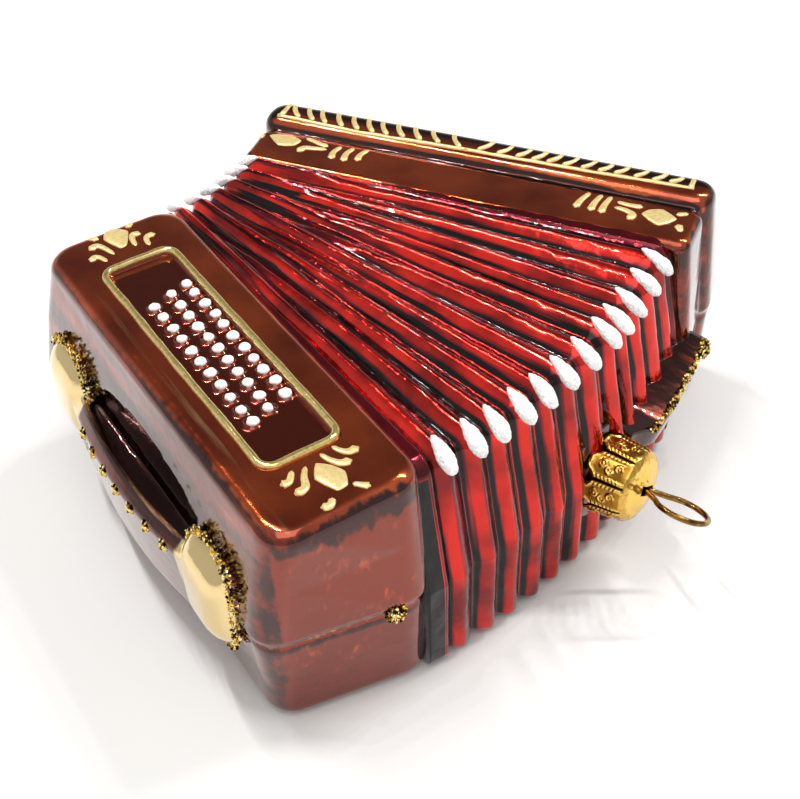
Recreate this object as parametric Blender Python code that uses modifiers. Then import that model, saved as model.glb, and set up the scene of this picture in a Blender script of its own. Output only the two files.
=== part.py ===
"""Blown-glass Christmas tree ornament in the shape of a button accordion.

The ornament lies on its back: +X runs towards the hanger cap, +Y towards the
grille casing and +Z out of the decorated front. Its two casings and the fan of
bellows between them are one hollow glass, open only at the neck. A crown cap
slips over the neck, and a spring wire hangs through the slot of the cap.
Enamel and glitter are cured deposits on the glass.
"""

import math

import bmesh
import bpy
from mathutils import Matrix, Vector

MM = 0.001

# Driving dimensions, in metres. Radii run from the centre of the bellows fan.
FAN_CENTRE = (-0.08825, 0.00305)
FAN_HALF_ANGLE = math.radians(17.34)
HEIGHT = 48.0 * MM
SEAM_HEIGHT = 21.0 * MM
GLASS_WALL = 1.1 * MM
DEPOSIT_GAP = 0.3 * MM

# Bellows
PLEATS_NEAR = 12
PLEAT_PITCH_NEAR = math.radians(2.69)
PLEATS_FAR = 6
PLEAT_PITCH_FAR = math.radians(6.2)
FAR_PLEAT_SHIFT = math.radians(1.0)
PLEAT_DEPTH = 2.0 * MM
PLEAT_BLEND = (52.0 * MM, 88.0 * MM)
BELLOWS_TOP = 47.2 * MM
BELLOWS_FLOOR = 0.4 * MM
BELLOWS_FAR = 37.0 * MM
BELLOWS_NEAR_TOP = 126.6 * MM
BELLOWS_NEAR_SEAM = 130.6 * MM
BELLOWS_NEAR_FLOOR = 130.2 * MM

# Button panel, in the casing's own directions: along it, and outwards from the bellows
PANEL_ALONG = (51.3 * MM, 114.4 * MM)
PANEL_OUT = (5.2 * MM, 20.8 * MM)
PANEL_DEPTH = 0.7 * MM
BUTTON_COLUMNS = ((8.3 * MM, 63.4 * MM), (12.2 * MM, 64.9 * MM), (16.2 * MM, 66.3 * MM))
BUTTONS_IN_COLUMN = 11
BUTTON_PITCH = 3.62 * MM
BUTTON_RADIUS = 1.15 * MM

# Front of the grille casing: the lower band, the ridge, and the gold line along the ridge,
# which is given by (along, outwards) places
BAND_HEIGHT = 46.95 * MM
RIDGE_HEIGHT = 48.3 * MM
RIDGE_FILLET = 3.6 * MM
RIDGE_ALONG = (35.1 * MM, 130.4 * MM)
RIDGE_INNER = (10.4 * MM, 11.0 * MM)
RIDGE_OUTER = (19.4 * MM, 20.2 * MM)
GRILLE_LINE = ((38.4, 13.5), (57.0, 12.9), (82.0, 13.9), (106.0, 14.4), (126.2, 15.4))
SLAT_RUN = 5.8 * MM
GRILLES = (
    ("grille_gold_far", (38.4 * MM, 79.7 * MM), (39.1 * MM, 78.8 * MM), 12, -2.8 * MM),
    ("grille_gold_near", (80.3 * MM, 126.2 * MM), (82.3 * MM, 125.5 * MM), 13, 2.3 * MM),
)

# Hand strap on the outer side of the button casing
STRAP_ALONG = (56.0 * MM, 109.0 * MM)
STRAP_MIDDLE = 82.5 * MM
STRAP_RIM = 29.6 * MM
STRAP_LOWER = 12.0 * MM
STRAP_UNDERSIDE_SLOPE = 1.6 * MM
STRAP_INNER = 26.0 * MM
STRAP_REACH = 35.2 * MM
STRAP_ROOT = 30.8 * MM
STRAP_THICKNESS = 2.8 * MM
HOLLOW_ALONG = (62.5 * MM, 104.5 * MM)
STUDS = 7
STUD_ALONG = (66.0 * MM, 99.0 * MM)
STUD_HEIGHT = 26.2 * MM
PLATE_REACH = 34.6 * MM
PLATE_FOOT = 24.0 * MM
STRAP_PLATES = (
    ("strap_plate_far", (53.8 * MM, 25.4 * MM), (8.6 * MM, 11.4 * MM)),
    ("strap_plate_near", (110.2 * MM, 23.6 * MM), (8.0 * MM, 11.4 * MM)),
)

# Neck, cap and hanger, along the cap's axis from the foot of the neck
NECK_RADIUS_FROM_FAN = 126.0 * MM
NECK_ANGLE = math.radians(1.87)
NECK_HEIGHT = 18.3 * MM
NECK_TILT = math.radians(3.1)
SLOT_ROLL = math.radians(-33.0)
NECK_OUTER = 6.0 * MM
NECK_BORE = 5.1 * MM
NECK_LENGTH = 11.2 * MM
PAD_RADIUS = 9.4 * MM
PAD_FACE = 2.6 * MM
PAD_RIM = 0.4 * MM
CAP_MOUTH = 3.0 * MM
CAP_TOP = 12.9 * MM
CAP_RADIUS = 7.0 * MM
CAP_SHEET = 0.45 * MM
PETALS = 8
SLOT_LENGTH = 4.6 * MM
SLOT_WIDTH = 1.9 * MM
WIRE_RADIUS = 0.55 * MM
RING_END = 25.2 * MM
RING_HALF_WIDTH = 5.8 * MM
HANGER_DROOP = math.radians(6.0)


def fresh_scene():
    """Removes what a new Blender scene holds, and returns the two collections."""
    for obj in list(bpy.data.objects):
        bpy.data.objects.remove(obj)
    found = []
    for name in ("glass_accordion_ornament", "cutters"):
        collection = bpy.data.collections.new(name)
        bpy.context.scene.collection.children.link(collection)
        found.append(collection)
    return found


PARTS, CUTTERS = fresh_scene()


def material(name, colour, roughness, metallic):
    """A Principled material with the piece's own colour (linear RGB)."""
    made = bpy.data.materials.new(name)
    made.use_nodes = True
    shader = made.node_tree.nodes["Principled BSDF"]
    shader.inputs["Base Color"].default_value = (*colour, 1.0)
    shader.inputs["Roughness"].default_value = roughness
    shader.inputs["Metallic"].default_value = metallic
    return made


RED_LACQUER = ((0.35, 0.012, 0.012), 0.08, 0.3)
GOLD_ENAMEL = ((0.76, 0.61, 0.24), 0.35, 0.6)
WHITE_ENAMEL = ((0.86, 0.85, 0.80), 0.7, 0.0)
GOLD_GLITTER = ((0.38, 0.30, 0.05), 0.6, 0.8)
CAP_BRASS = ((0.62, 0.36, 0.07), 0.3, 1.0)
WIRE_GOLD = ((0.50, 0.32, 0.10), 0.25, 1.0)


def object_of(name, mesh_source, matrix=None, look=None):
    """Links a bmesh as a named part, or as a hidden cutter when it has no look."""
    bmesh.ops.recalc_face_normals(mesh_source, faces=mesh_source.faces)
    if mesh_source.faces and mesh_source.calc_volume(signed=True) < 0:
        bmesh.ops.reverse_faces(mesh_source, faces=mesh_source.faces)
    mesh = bpy.data.meshes.new(name)
    mesh_source.to_mesh(mesh)
    mesh_source.free()
    made = bpy.data.objects.new(name, mesh)
    if matrix is not None:
        made.matrix_world = matrix
    if look is None:
        CUTTERS.objects.link(made)
        made.hide_render = True
        made.display_type = "WIRE"
        return made
    mesh.materials.append(material(name, *look))
    mesh.shade_smooth()
    mesh.set_sharp_from_angle(angle=math.radians(35))
    PARTS.objects.link(made)
    return made


def combine(base, other, operation):
    """Adds a Boolean modifier that joins, cuts or intersects."""
    modifier = base.modifiers.new(f"{operation.lower()}_{other.name}", "BOOLEAN")
    modifier.operation = operation
    modifier.object = other
    modifier.solver = "EXACT"


def loft(rings):
    """A closed bmesh through rings of equally many points, capped at both ends."""
    made = bmesh.new()
    rows = [[made.verts.new(point) for point in ring] for ring in rings]
    for lower, upper in zip(rows, rows[1:]):
        for index, corner in enumerate(lower):
            after = (index + 1) % len(lower)
            made.faces.new((corner, lower[after], upper[after], upper[index]))
    made.faces.new(list(reversed(rows[0])))
    made.faces.new(rows[-1])
    return made


def rounded_outline(corners, radius, steps):
    """The points of a convex outline whose corners are arcs of the radius."""
    points = []
    count = len(corners)
    for index, corner in enumerate(corners):
        here = Vector(corner)
        before = (Vector(corners[index - 1]) - here).normalized()
        after = (Vector(corners[(index + 1) % count]) - here).normalized()
        half = before.angle(after) / 2
        reach = radius / math.tan(half)
        centre = here + (before + after).normalized() * (radius / math.sin(half))
        start = (here + before * reach) - centre
        turn = start.angle((here + after * reach) - centre)
        sign = 1 if start.cross((here + after * reach) - centre) > 0 else -1
        for step in range(steps + 1):
            angle = sign * turn * step / steps
            points.append(
                (
                    centre.x + start.x * math.cos(angle) - start.y * math.sin(angle),
                    centre.y + start.x * math.sin(angle) + start.y * math.cos(angle),
                )
            )
    return points


def casing_matrix(side):
    """Maps (along, outwards, up) of a casing to the world; side is +1 or -1 in Y."""
    turn = Matrix.Rotation(side * FAN_HALF_ANGLE, 4, "Z")
    place = Matrix.Translation((*FAN_CENTRE, 0))
    return place @ turn @ Matrix.Diagonal((1, side, 1, 1))


def blend(first, second, share):
    """The corners part way between two outlines."""
    return [
        tuple(a + (b - a) * share for a, b in zip(one, other))
        for one, other in zip(first, second)
    ]


def grown(corners, amount):
    """A convex quadrilateral outline with every side moved outwards."""
    middle = sum((Vector(corner) for corner in corners), Vector((0, 0))) / len(corners)
    lines = []
    for index, corner in enumerate(corners):
        here, after = Vector(corner), Vector(corners[(index + 1) % len(corners)])
        normal = Vector((after.y - here.y, here.x - after.x)).normalized()
        if normal.dot(here - middle) < 0:
            normal.negate()
        lines.append((here + normal * amount, (after - here).normalized()))
    found = []
    for index, (point, way) in enumerate(lines):
        earlier, its_way = lines[index - 1]
        share = (point - earlier).cross(way) / its_way.cross(way)
        found.append(tuple(earlier + its_way * share))
    return found


def shortest_side(corners):
    """The length of an outline's shortest side."""
    return min(math.dist(corner, corners[index - 1]) for index, corner in enumerate(corners))


def casing_rings(bottom, seam, top, crown, grow, fillet, corner, seam_step):
    """The level outlines of a drafted casing, from its back face up to its front."""
    foot = 2.4 * MM
    levels = []
    for share in (0.0, 0.45, 1.0):
        inset = foot * (1 - math.sin(share * math.pi / 2))
        levels.append((bottom, -inset * 0.8, share * foot))
    levels.append((seam, -0.35 * MM if seam_step else 0, SEAM_HEIGHT - 0.9 * MM))
    if seam_step:
        levels.append((seam, -0.75 * MM, SEAM_HEIGHT))
    levels.append((seam, 0.1 * MM, SEAM_HEIGHT + 1.3 * MM))
    levels.append((blend(seam, top, 0.45), 0, SEAM_HEIGHT + (crown - SEAM_HEIGHT) * 0.5))
    for step in range(5):
        angle = step / 4 * math.pi / 2
        inset = fillet * (1 - math.cos(angle))
        levels.append((top, -inset, crown - fillet * (1 - math.sin(angle))))
    rings = []
    last = len(levels) - 1
    for index, (corners, inset, level) in enumerate(levels):
        height = level + (grow if index == last else 0) - (grow if index == 0 else 0)
        sides = grown(corners, inset + grow)
        radius = min(max(corner + inset * 0.5 + grow, 0.8 * MM), 0.45 * shortest_side(sides))
        outline = rounded_outline(sides, radius, 4)
        rings.append([(x, y, height) for x, y in outline])
    return rings


def button_casing(grow):
    """Outlines of the casing with the button panel, as (along, outwards) corners."""
    inner = -1.2 * MM
    bottom = [(36.4 * MM, inner), (129.9 * MM, inner), (124.6 * MM, 28.4 * MM), (36.6 * MM, 28.6 * MM)]
    seam = [(35.0 * MM, inner), (131.6 * MM, inner), (125.4 * MM, 30.0 * MM), (34.8 * MM, 30.6 * MM)]
    top = [(38.8 * MM, inner), (128.5 * MM, inner), (128.4 * MM, 27.4 * MM), (39.2 * MM, 25.6 * MM)]
    return casing_rings(bottom, seam, top, HEIGHT, grow, 2.6 * MM, 5.5 * MM, True)


def grille_band(grow):
    """Outlines of the lower inner band of the grille casing."""
    inner = -1.2 * MM
    bottom = [(37.0 * MM, inner), (129.8 * MM, inner), (129.0 * MM, 12.4 * MM), (36.6 * MM, 12.4 * MM)]
    seam = [(35.8 * MM, inner), (131.4 * MM, inner), (130.6 * MM, 12.4 * MM), (35.6 * MM, 12.4 * MM)]
    top = [(37.6 * MM, inner), (129.4 * MM, inner), (129.6 * MM, 11.8 * MM), (37.2 * MM, 11.4 * MM)]
    return casing_rings(bottom, seam, top, BAND_HEIGHT, grow, 2.0 * MM, 2.4 * MM, False)


def grille_ridge(grow):
    """Outlines of the higher outer ridge of the grille casing."""
    bottom = [(34.6 * MM, 10.2 * MM), (131.4 * MM, 10.8 * MM), (130.6 * MM, 22.0 * MM), (34.6 * MM, 21.4 * MM)]
    seam = [(33.8 * MM, 9.8 * MM), (132.6 * MM, 10.6 * MM), (131.8 * MM, 23.2 * MM), (33.6 * MM, 22.6 * MM)]
    (far, near), (far_inner, near_inner), (far_outer, near_outer) = RIDGE_ALONG, RIDGE_INNER, RIDGE_OUTER
    top = [(far, far_inner), (near, near_inner), (near, near_outer), (far, far_outer)]
    return casing_rings(bottom, seam, top, RIDGE_HEIGHT, grow, RIDGE_FILLET, 3.8 * MM, True)


def bellows_profile(grow):
    """The outline of one bellows section as (radius, height, inward normal) points."""
    top, floor = BELLOWS_TOP + grow, BELLOWS_FLOOR - grow
    far = BELLOWS_FAR - grow
    edge, foot = 4.2 * MM + grow, 2.4 * MM + grow
    near_top = BELLOWS_NEAR_TOP + grow
    near_seam = BELLOWS_NEAR_SEAM + grow
    near_floor = BELLOWS_NEAR_FLOOR + grow
    corners = (
        ((near_floor - foot, floor + foot), foot, -90, 0, 3),
        ((near_seam - foot, SEAM_HEIGHT), foot, -4, 8, 1),
        ((near_top - edge, top - edge), edge, 8, 90, 4),
        ((far + edge, top - edge), edge, 90, 180, 4),
        ((far + foot, floor + foot), foot, 180, 270, 3),
    )
    points = []
    for centre, radius, first, last, steps in corners:
        for step in range(steps + 1):
            angle = math.radians(first + (last - first) * step / steps)
            out = (math.cos(angle), math.sin(angle))
            points.append((centre[0] + radius * out[0], centre[1] + radius * out[1], out))
    return with_more_points(points)


def with_more_points(points):
    """Divides the long straight runs of a profile, so that the pleats can blend."""
    longest = 13 * MM
    found = []
    for index, (radius, level, out) in enumerate(points):
        next_radius, next_level, next_out = points[(index + 1) % len(points)]
        found.append((radius, level, out))
        length = math.hypot(next_radius - radius, next_level - level)
        parts = int(length / longest) + 1
        for part in range(1, parts):
            share = part / parts
            found.append(
                (
                    radius + (next_radius - radius) * share,
                    level + (next_level - level) * share,
                    out if share < 0.5 else next_out,
                )
            )
    return found


def pleat_wave(angle, pitch, count, middle):
    """0 on a crest and 1 in a valley, with round crests and sharp valleys."""
    place = (angle - middle) / pitch + count / 2
    if place < 0 or place > count:
        return 1.0
    from_crest = abs(place - math.floor(place) - 0.5) * 2
    return from_crest**1.5


def pleat_depth(angle, radius):
    """How far the surface lies below the crests; twelve pleats merge into six."""
    low, high = PLEAT_BLEND
    share = min(max((radius - low) / (high - low), 0), 1)
    near = pleat_wave(angle, PLEAT_PITCH_NEAR, PLEATS_NEAR, 0)
    far = pleat_wave(angle, PLEAT_PITCH_FAR, PLEATS_FAR, FAR_PLEAT_SHIFT)
    middle_shallowness = 0.75 + 0.25 * abs(2 * share - 1)
    return PLEAT_DEPTH * middle_shallowness * (share * near + (1 - share) * far)


def bellows_angles():
    """The angles of the bellows sections: each crest, valley and flank, and both ends."""
    half = PLEATS_NEAR / 2 * PLEAT_PITCH_NEAR
    step = PLEAT_PITCH_NEAR / 4
    found = [-half + index * step for index in range(PLEATS_NEAR * 4 + 1)]
    end = FAN_HALF_ANGLE + math.radians(0.45)
    return [-end, *found, end]


def bellows(grow):
    """The pleated fan as a loft through its sections, grown outwards if asked."""
    rings = []
    profile = bellows_profile(grow)
    for angle in bellows_angles():
        ring = []
        for radius, level, out in profile:
            depth = pleat_depth(angle, radius)
            reach = radius - depth * out[0]
            ring.append(
                (
                    FAN_CENTRE[0] + reach * math.cos(angle),
                    FAN_CENTRE[1] + reach * math.sin(angle),
                    level - depth * out[1],
                )
            )
        rings.append(ring)
    return loft(rings)


def bellows_cavity():
    """The smooth hollow inside the pleats, running into both casings."""
    inset = PLEAT_DEPTH + GLASS_WALL
    end = FAN_HALF_ANGLE + math.radians(1.6)
    low, top = BELLOWS_FLOOR + inset, BELLOWS_TOP - inset
    far, near = BELLOWS_FAR + inset, BELLOWS_NEAR_TOP - inset
    outline = rounded_outline(
        [(far, low), (near + 2.5 * MM, low), (near, top), (far, top)], 3 * MM, 2
    )
    rings = []
    for step in range(13):
        angle = -end + 2 * end * step / 12
        rings.append(
            [
                (
                    FAN_CENTRE[0] + radius * math.cos(angle),
                    FAN_CENTRE[1] + radius * math.sin(angle),
                    level,
                )
                for radius, level in outline
            ]
        )
    return loft(rings)


def block(low, high):
    """A box between two corners."""
    made = bmesh.new()
    bmesh.ops.create_cube(made, size=1)
    size = [b - a for a, b in zip(low, high)]
    middle = [(a + b) / 2 for a, b in zip(low, high)]
    bmesh.ops.scale(made, vec=size, verts=made.verts)
    bmesh.ops.translate(made, vec=middle, verts=made.verts)
    return made


def turned_solid(profile, sides):
    """A solid turned about X from (place, radius) points, such as a cylinder from two."""
    rings = []
    for place, radius in profile:
        turns = [2 * math.pi * (index + 0.5) / sides for index in range(sides)]
        rings.append([(place, radius * math.cos(turn), radius * math.sin(turn)) for turn in turns])
    return loft(rings)


def neck():
    """The neck and the round pad at its foot."""
    pad = PAD_RADIUS + PAD_RIM
    profile = [(-1.5 * MM, pad), (PAD_FACE, pad), (PAD_FACE, NECK_OUTER), (NECK_LENGTH, NECK_OUTER)]
    return turned_solid(profile, 32)


def strap_plate(middle, half):
    """One of the pillow-shaped plates that end the hand strap, as rising outlines."""
    along, up = middle
    wide, tall = half
    levels = ((0.97, 0), (1.0, 0.32), (0.97, 0.60), (0.84, 0.82), (0.58, 0.95), (0.22, 1.0))
    rings = []
    for share, rise in levels:
        out = PLATE_FOOT + (PLATE_REACH - PLATE_FOOT) * rise
        w, t = wide * share, tall * share
        corners = [(along - w, up - t), (along + w, up - t), (along + w, up + t), (along - w, up + t)]
        radius = min(w, t) * 0.62
        rings.append([(x, out, z) for x, z in rounded_outline(corners, radius, 3)])
    return loft(rings)


def bead(name, size, matrix, look=None, segments=8, rings=5):
    """A round or oval drop."""
    made = bmesh.new()
    bmesh.ops.create_uvsphere(made, u_segments=segments, v_segments=rings, radius=0.5)
    bmesh.ops.scale(made, vec=size, verts=made.verts)
    return object_of(name, made, matrix, look)


def strap_centre(along):
    """How far out the middle of the hand strap lies at a place along the casing."""
    share = (along - STRAP_MIDDLE) / (STRAP_ALONG[1] - STRAP_ALONG[0]) * 2
    return STRAP_ROOT + (STRAP_REACH - STRAP_ROOT - STRAP_THICKNESS / 2) * (1 - share * share)


def hand_strap(grow):
    """The bowed strap, as sections whose lower side slopes back to the casing."""
    rings = []
    steps = 12
    for step in range(steps + 1):
        along = STRAP_ALONG[0] + (STRAP_ALONG[1] - STRAP_ALONG[0]) * step / steps
        outer = strap_centre(along) + STRAP_THICKNESS / 2 + grow
        corners = [
            (STRAP_INNER, STRAP_LOWER - STRAP_UNDERSIDE_SLOPE - grow),
            (outer - 1.2 * MM, STRAP_LOWER - grow),
            (outer, STRAP_RIM - 2.6 * MM),
            (outer - 1.9 * MM, STRAP_RIM + grow),
            (STRAP_INNER, STRAP_RIM + grow),
        ]
        outline = rounded_outline(corners, 0.8 * MM, 2)
        rings.append([(along, out, up) for out, up in outline])
    return loft(rings)


def hand_hollow():
    """The lens-shaped hollow between the strap and the casing, open to the front."""
    rings = []
    first, last = HOLLOW_ALONG
    steps = 10
    for step in range(steps + 1):
        share = step / steps * 2 - 1
        along = (first + last) / 2 + share * (last - first) / 2
        bow = math.sqrt(max(1 - share * share, 0.02))
        back = 28.9 * MM - 1.5 * bow * MM
        front = strap_centre(along) - STRAP_THICKNESS / 2
        floor = STRAP_RIM - (0.8 + 4.4 * bow) * MM
        outline = [
            (back, floor),
            (front, floor),
            (front + 0.2 * MM, STRAP_RIM + 0.8 * MM),
            (34.5 * MM, STRAP_RIM + (1.6 + 7.0 * bow) * MM),
            (back + 0.2 * MM, STRAP_RIM + (1.2 + 6.4 * bow) * MM),
        ]
        rings.append([(along, out, up) for out, up in outline])
    return loft(rings)


def bellows_strap(grow):
    """The closing strap across the cap-side end, from the grille casing to the cap."""
    rings = []
    steps = 8
    for step in range(steps + 1):
        share = step / steps
        angle = math.radians(18.6 - 12.6 * share)
        reach = (134.8 - 0.6 * share) * MM + grow
        upper = (24.6 - 1.2 * share) * MM + grow
        outline = rounded_outline(
            [
                (126 * MM, 14.5 * MM - grow),
                (reach - 1.5 * MM, 16.5 * MM - grow),
                (reach, upper - 1.5 * MM),
                (126 * MM, upper + 1.6 * MM),
            ],
            1.0 * MM,
            2,
        )
        rings.append(
            [
                (
                    FAN_CENTRE[0] + radius * math.cos(angle),
                    FAN_CENTRE[1] + radius * math.sin(angle),
                    level,
                )
                for radius, level in outline
            ]
        )
    return loft(rings)


def buttons():
    """Every moulded button, as one set of bumps on the panel's floor."""
    made = bmesh.new()
    for out, first in BUTTON_COLUMNS:
        for index in range(BUTTONS_IN_COLUMN):
            place = Vector((first + index * BUTTON_PITCH, out, HEIGHT - PANEL_DEPTH))
            bmesh.ops.create_uvsphere(
                made,
                u_segments=8,
                v_segments=4,
                radius=BUTTON_RADIUS,
                matrix=Matrix.Translation(place) @ Matrix.Diagonal((1, 1, 1.15, 1)),
            )
    return made


def panel_recess():
    """The shallow well that the buttons stand in."""
    inset = 1.1 * MM
    corners = [
        (PANEL_ALONG[0] + inset, PANEL_OUT[0] + inset),
        (PANEL_ALONG[1] - inset, PANEL_OUT[0] + inset),
        (PANEL_ALONG[1] - inset, PANEL_OUT[1] - inset),
        (PANEL_ALONG[0] + inset, PANEL_OUT[1] - inset),
    ]
    floor = HEIGHT - PANEL_DEPTH
    return loft(
        [
            [(x, y, level) for x, y in rounded_outline(corners, 1.8 * MM, 3)]
            for level in (floor, HEIGHT + 2 * MM)
        ]
    )


def cap_matrix():
    """The cap's axis along +X and its slot along Y, at the foot of the neck."""
    turn = Matrix.Rotation(NECK_ANGLE, 4, "Z")
    foot = Vector((*FAN_CENTRE, NECK_HEIGHT)) + turn @ Vector((NECK_RADIUS_FROM_FAN, 0, 0))
    lift = Matrix.Rotation(-NECK_TILT, 4, "Y")
    roll = Matrix.Rotation(SLOT_ROLL, 4, "X")
    return Matrix.Translation(foot) @ turn @ lift @ roll


def glass_shell():
    """The whole hollow glass: casings, bellows, straps, buttons, neck and cavity."""
    button_side, grille_side, cap_place = casing_matrix(-1), casing_matrix(1), cap_matrix()
    shell = object_of("glass_shell", bellows(0), look=RED_LACQUER)
    additions = [
        object_of("button_casing_form", loft(button_casing(0)), button_side),
        object_of("grille_ridge_form", loft(grille_ridge(0)), grille_side),
        object_of("grille_band_form", loft(grille_band(0)), grille_side),
        object_of("bellows_strap_form", bellows_strap(0)),
        object_of("hand_strap_form", hand_strap(0), button_side),
    ]
    for name, middle, half in STRAP_PLATES:
        additions.append(object_of(f"{name}_form", strap_plate(middle, half), button_side))
    for form in additions:
        combine(shell, form, "UNION")
    combine(shell, object_of("hand_hollow_cut", hand_hollow(), button_side), "DIFFERENCE")
    combine(shell, object_of("panel_recess_cut", panel_recess(), button_side), "DIFFERENCE")
    combine(shell, object_of("buttons_form", buttons(), button_side), "UNION")
    pad_cut = turned_solid(((PAD_FACE - PAD_RIM, PAD_RADIUS), (12 * MM, PAD_RADIUS)), 40)
    combine(shell, object_of("pad_cut", pad_cut, cap_place), "DIFFERENCE")
    combine(shell, object_of("neck_form", neck(), cap_place), "UNION")
    neck_bore = turned_solid(((-6 * MM, NECK_BORE), (16 * MM, NECK_BORE)), 32)
    cavities = [
        object_of("bellows_cavity_cut", bellows_cavity()),
        object_of("button_cavity_cut", loft(casing_cavity(button_casing, -3.9 * MM)), button_side),
        object_of("ridge_cavity_cut", loft(casing_cavity(grille_ridge, -1.3 * MM)), grille_side),
        object_of("band_cavity_cut", loft(casing_cavity(grille_band, 3.0 * MM)), grille_side),
        object_of("neck_bore_cut", neck_bore, cap_place),
    ]
    for cut in cavities:
        combine(shell, cut, "DIFFERENCE")
    return shell


def casing_cavity(outlines, outer_shift):
    """The hollow of a casing: its own outlines moved inwards, and its outer side shifted."""
    rings = []
    chosen = outlines(-GLASS_WALL - 0.4 * MM)
    for ring in (chosen[0], chosen[2], chosen[3], chosen[-6], chosen[-3], chosen[-1]):
        middle = sum(point[1] for point in ring) / len(ring)
        rings.append([(x, y + (outer_shift if y > middle else 0), z) for x, y, z in ring])
    return rings


def clearances():
    """The glass forms grown by the deposit gap, which keep every deposit off the glass."""
    button_side, grille_side = casing_matrix(-1), casing_matrix(1)
    gap = DEPOSIT_GAP
    return {
        "button": object_of("button_clearance", loft(button_casing(gap)), button_side),
        "ridge": object_of("ridge_clearance", loft(grille_ridge(gap)), grille_side),
        "band": object_of("band_clearance", loft(grille_band(gap)), grille_side),
        "bellows": object_of("bellows_clearance", bellows(gap)),
        "strap": object_of("strap_clearance", hand_strap(gap), button_side),
        "ledge": object_of("ledge_clearance", bellows_strap(gap)),
    }


def bellows_place(angle, radius, level, dip):
    """A frame on the bellows: X along the pleat, dipping by an angle, Z outwards."""
    turn = Matrix.Rotation(angle, 4, "Z")
    place = Vector((*FAN_CENTRE, level)) + turn @ Vector((radius, 0, 0))
    return Matrix.Translation(place) @ turn @ Matrix.Rotation(dip, 4, "Y")


def enamel_tips(clear):
    """White enamel drops on the pleat ends: twelve near the cap and six opposite."""
    for index in range(PLEATS_NEAR):
        angle = (index - (PLEATS_NEAR - 1) / 2) * PLEAT_PITCH_NEAR
        place = bellows_place(angle, 124.6 * MM, 45.9 * MM, math.radians(32))
        tip = bead(f"white_tip_near_{index + 1:02d}", (7.6 * MM, 2.4 * MM, 3.2 * MM), place, WHITE_ENAMEL)
        combine(tip, clear["bellows"], "DIFFERENCE")
    for index in range(PLEATS_FAR):
        angle = FAR_PLEAT_SHIFT + (index - (PLEATS_FAR - 1) / 2) * PLEAT_PITCH_FAR
        place = bellows_place(angle, 39.0 * MM, 46.1 * MM, math.radians(-26))
        tip = bead(f"white_tip_far_{index + 1:02d}", (7.0 * MM, 2.2 * MM, 3.0 * MM), place, WHITE_ENAMEL)
        combine(tip, clear["bellows"], "DIFFERENCE")
        combine(tip, clear["band"], "DIFFERENCE")


def tube_mesh(name, points, radius, closed, sides_step=1):
    """A round bead of enamel along a path, as a mesh with welded caps."""
    curve = bpy.data.curves.new(name, "CURVE")
    curve.dimensions = "3D"
    curve.bevel_depth = radius
    curve.bevel_resolution = sides_step
    curve.use_fill_caps = not closed
    spline = curve.splines.new("POLY")
    spline.points.add(len(points) - 1)
    for point, place in zip(spline.points, points):
        point.co = (*place, 1)
    spline.use_cyclic_u = closed
    guide = bpy.data.objects.new(f"{name}_path", curve)
    CUTTERS.objects.link(guide)
    bpy.context.view_layer.update()
    evaluated = guide.evaluated_get(bpy.context.evaluated_depsgraph_get())
    mesh = bpy.data.meshes.new_from_object(evaluated)
    made = bmesh.new()
    made.from_mesh(mesh)
    bmesh.ops.remove_doubles(made, verts=made.verts, dist=1e-6)
    bpy.data.objects.remove(guide)
    bpy.data.meshes.remove(mesh)
    return made


def panel_frame(clear):
    """The gold line round the button panel."""
    half = 0.65 * MM
    corners = [
        (PANEL_ALONG[0] + half, PANEL_OUT[0] + half),
        (PANEL_ALONG[1] - half, PANEL_OUT[0] + half),
        (PANEL_ALONG[1] - half, PANEL_OUT[1] - half),
        (PANEL_ALONG[0] + half, PANEL_OUT[1] - half),
    ]
    path = [(x, y, HEIGHT + 0.25 * MM) for x, y in rounded_outline(corners, 2.6 * MM, 4)]
    line = tube_mesh("panel_frame", path, half, True)
    frame = object_of("panel_frame_gold", line, casing_matrix(-1), GOLD_ENAMEL)
    combine(frame, clear["button"], "DIFFERENCE")


def part_way(values, along):
    """The value between the ridge's far and near ends at a place along it."""
    share = (along - RIDGE_ALONG[0]) / (RIDGE_ALONG[1] - RIDGE_ALONG[0])
    return values[0] + (values[1] - values[0]) * share


def ridge_height(along, out):
    """The height of the grille ridge's surface at a place on it."""
    inner = part_way(RIDGE_INNER, along) + RIDGE_FILLET
    outer = part_way(RIDGE_OUTER, along) - RIDGE_FILLET
    beyond = min(max(out - outer, inner - out, 0), RIDGE_FILLET * 0.98)
    return RIDGE_HEIGHT - RIDGE_FILLET + math.sqrt(RIDGE_FILLET**2 - beyond**2)


def line_out(along):
    """How far out the gold line lies at a place along the ridge."""
    for (first, out), (last, next_out) in zip(GRILLE_LINE, GRILLE_LINE[1:]):
        share = (along / MM - first) / (last - first)
        if share <= 1:
            break
    return (out + (next_out - out) * share) * MM


def grille_gold(clear, name, ends, feet, slats, lean):
    """A gold grille: a line along the ridge with slanting slats over its shoulder."""
    lift = 0.25 * MM
    bends = [place * MM for place, _ in GRILLE_LINE if ends[0] < place * MM < ends[1]]
    path = []
    for along in (ends[0], *bends, ends[1]):
        path.append((along, line_out(along), ridge_height(along, line_out(along)) + lift))
    grille = object_of(name, tube_mesh(name, path, 0.6 * MM, False), casing_matrix(1), GOLD_ENAMEL)
    for index in range(slats):
        foot = feet[0] + (feet[1] - feet[0]) * index / (slats - 1)
        lean_here = lean if 0 < index < slats - 1 else 0.0
        line = line_out(foot)
        points = []
        for out in (line + 0.2 * MM, 16.4 * MM, 18.0 * MM, 19.2 * MM):
            along = foot + lean_here * (out - line) / SLAT_RUN
            points.append((along, out, ridge_height(along, out) + lift))
        mesh = tube_mesh(name, points, 0.52 * MM, False)
        slat = object_of(f"{name}_slat_{index}", mesh, casing_matrix(1))
        combine(grille, slat, "UNION")
    combine(grille, clear["ridge"], "DIFFERENCE")


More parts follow.
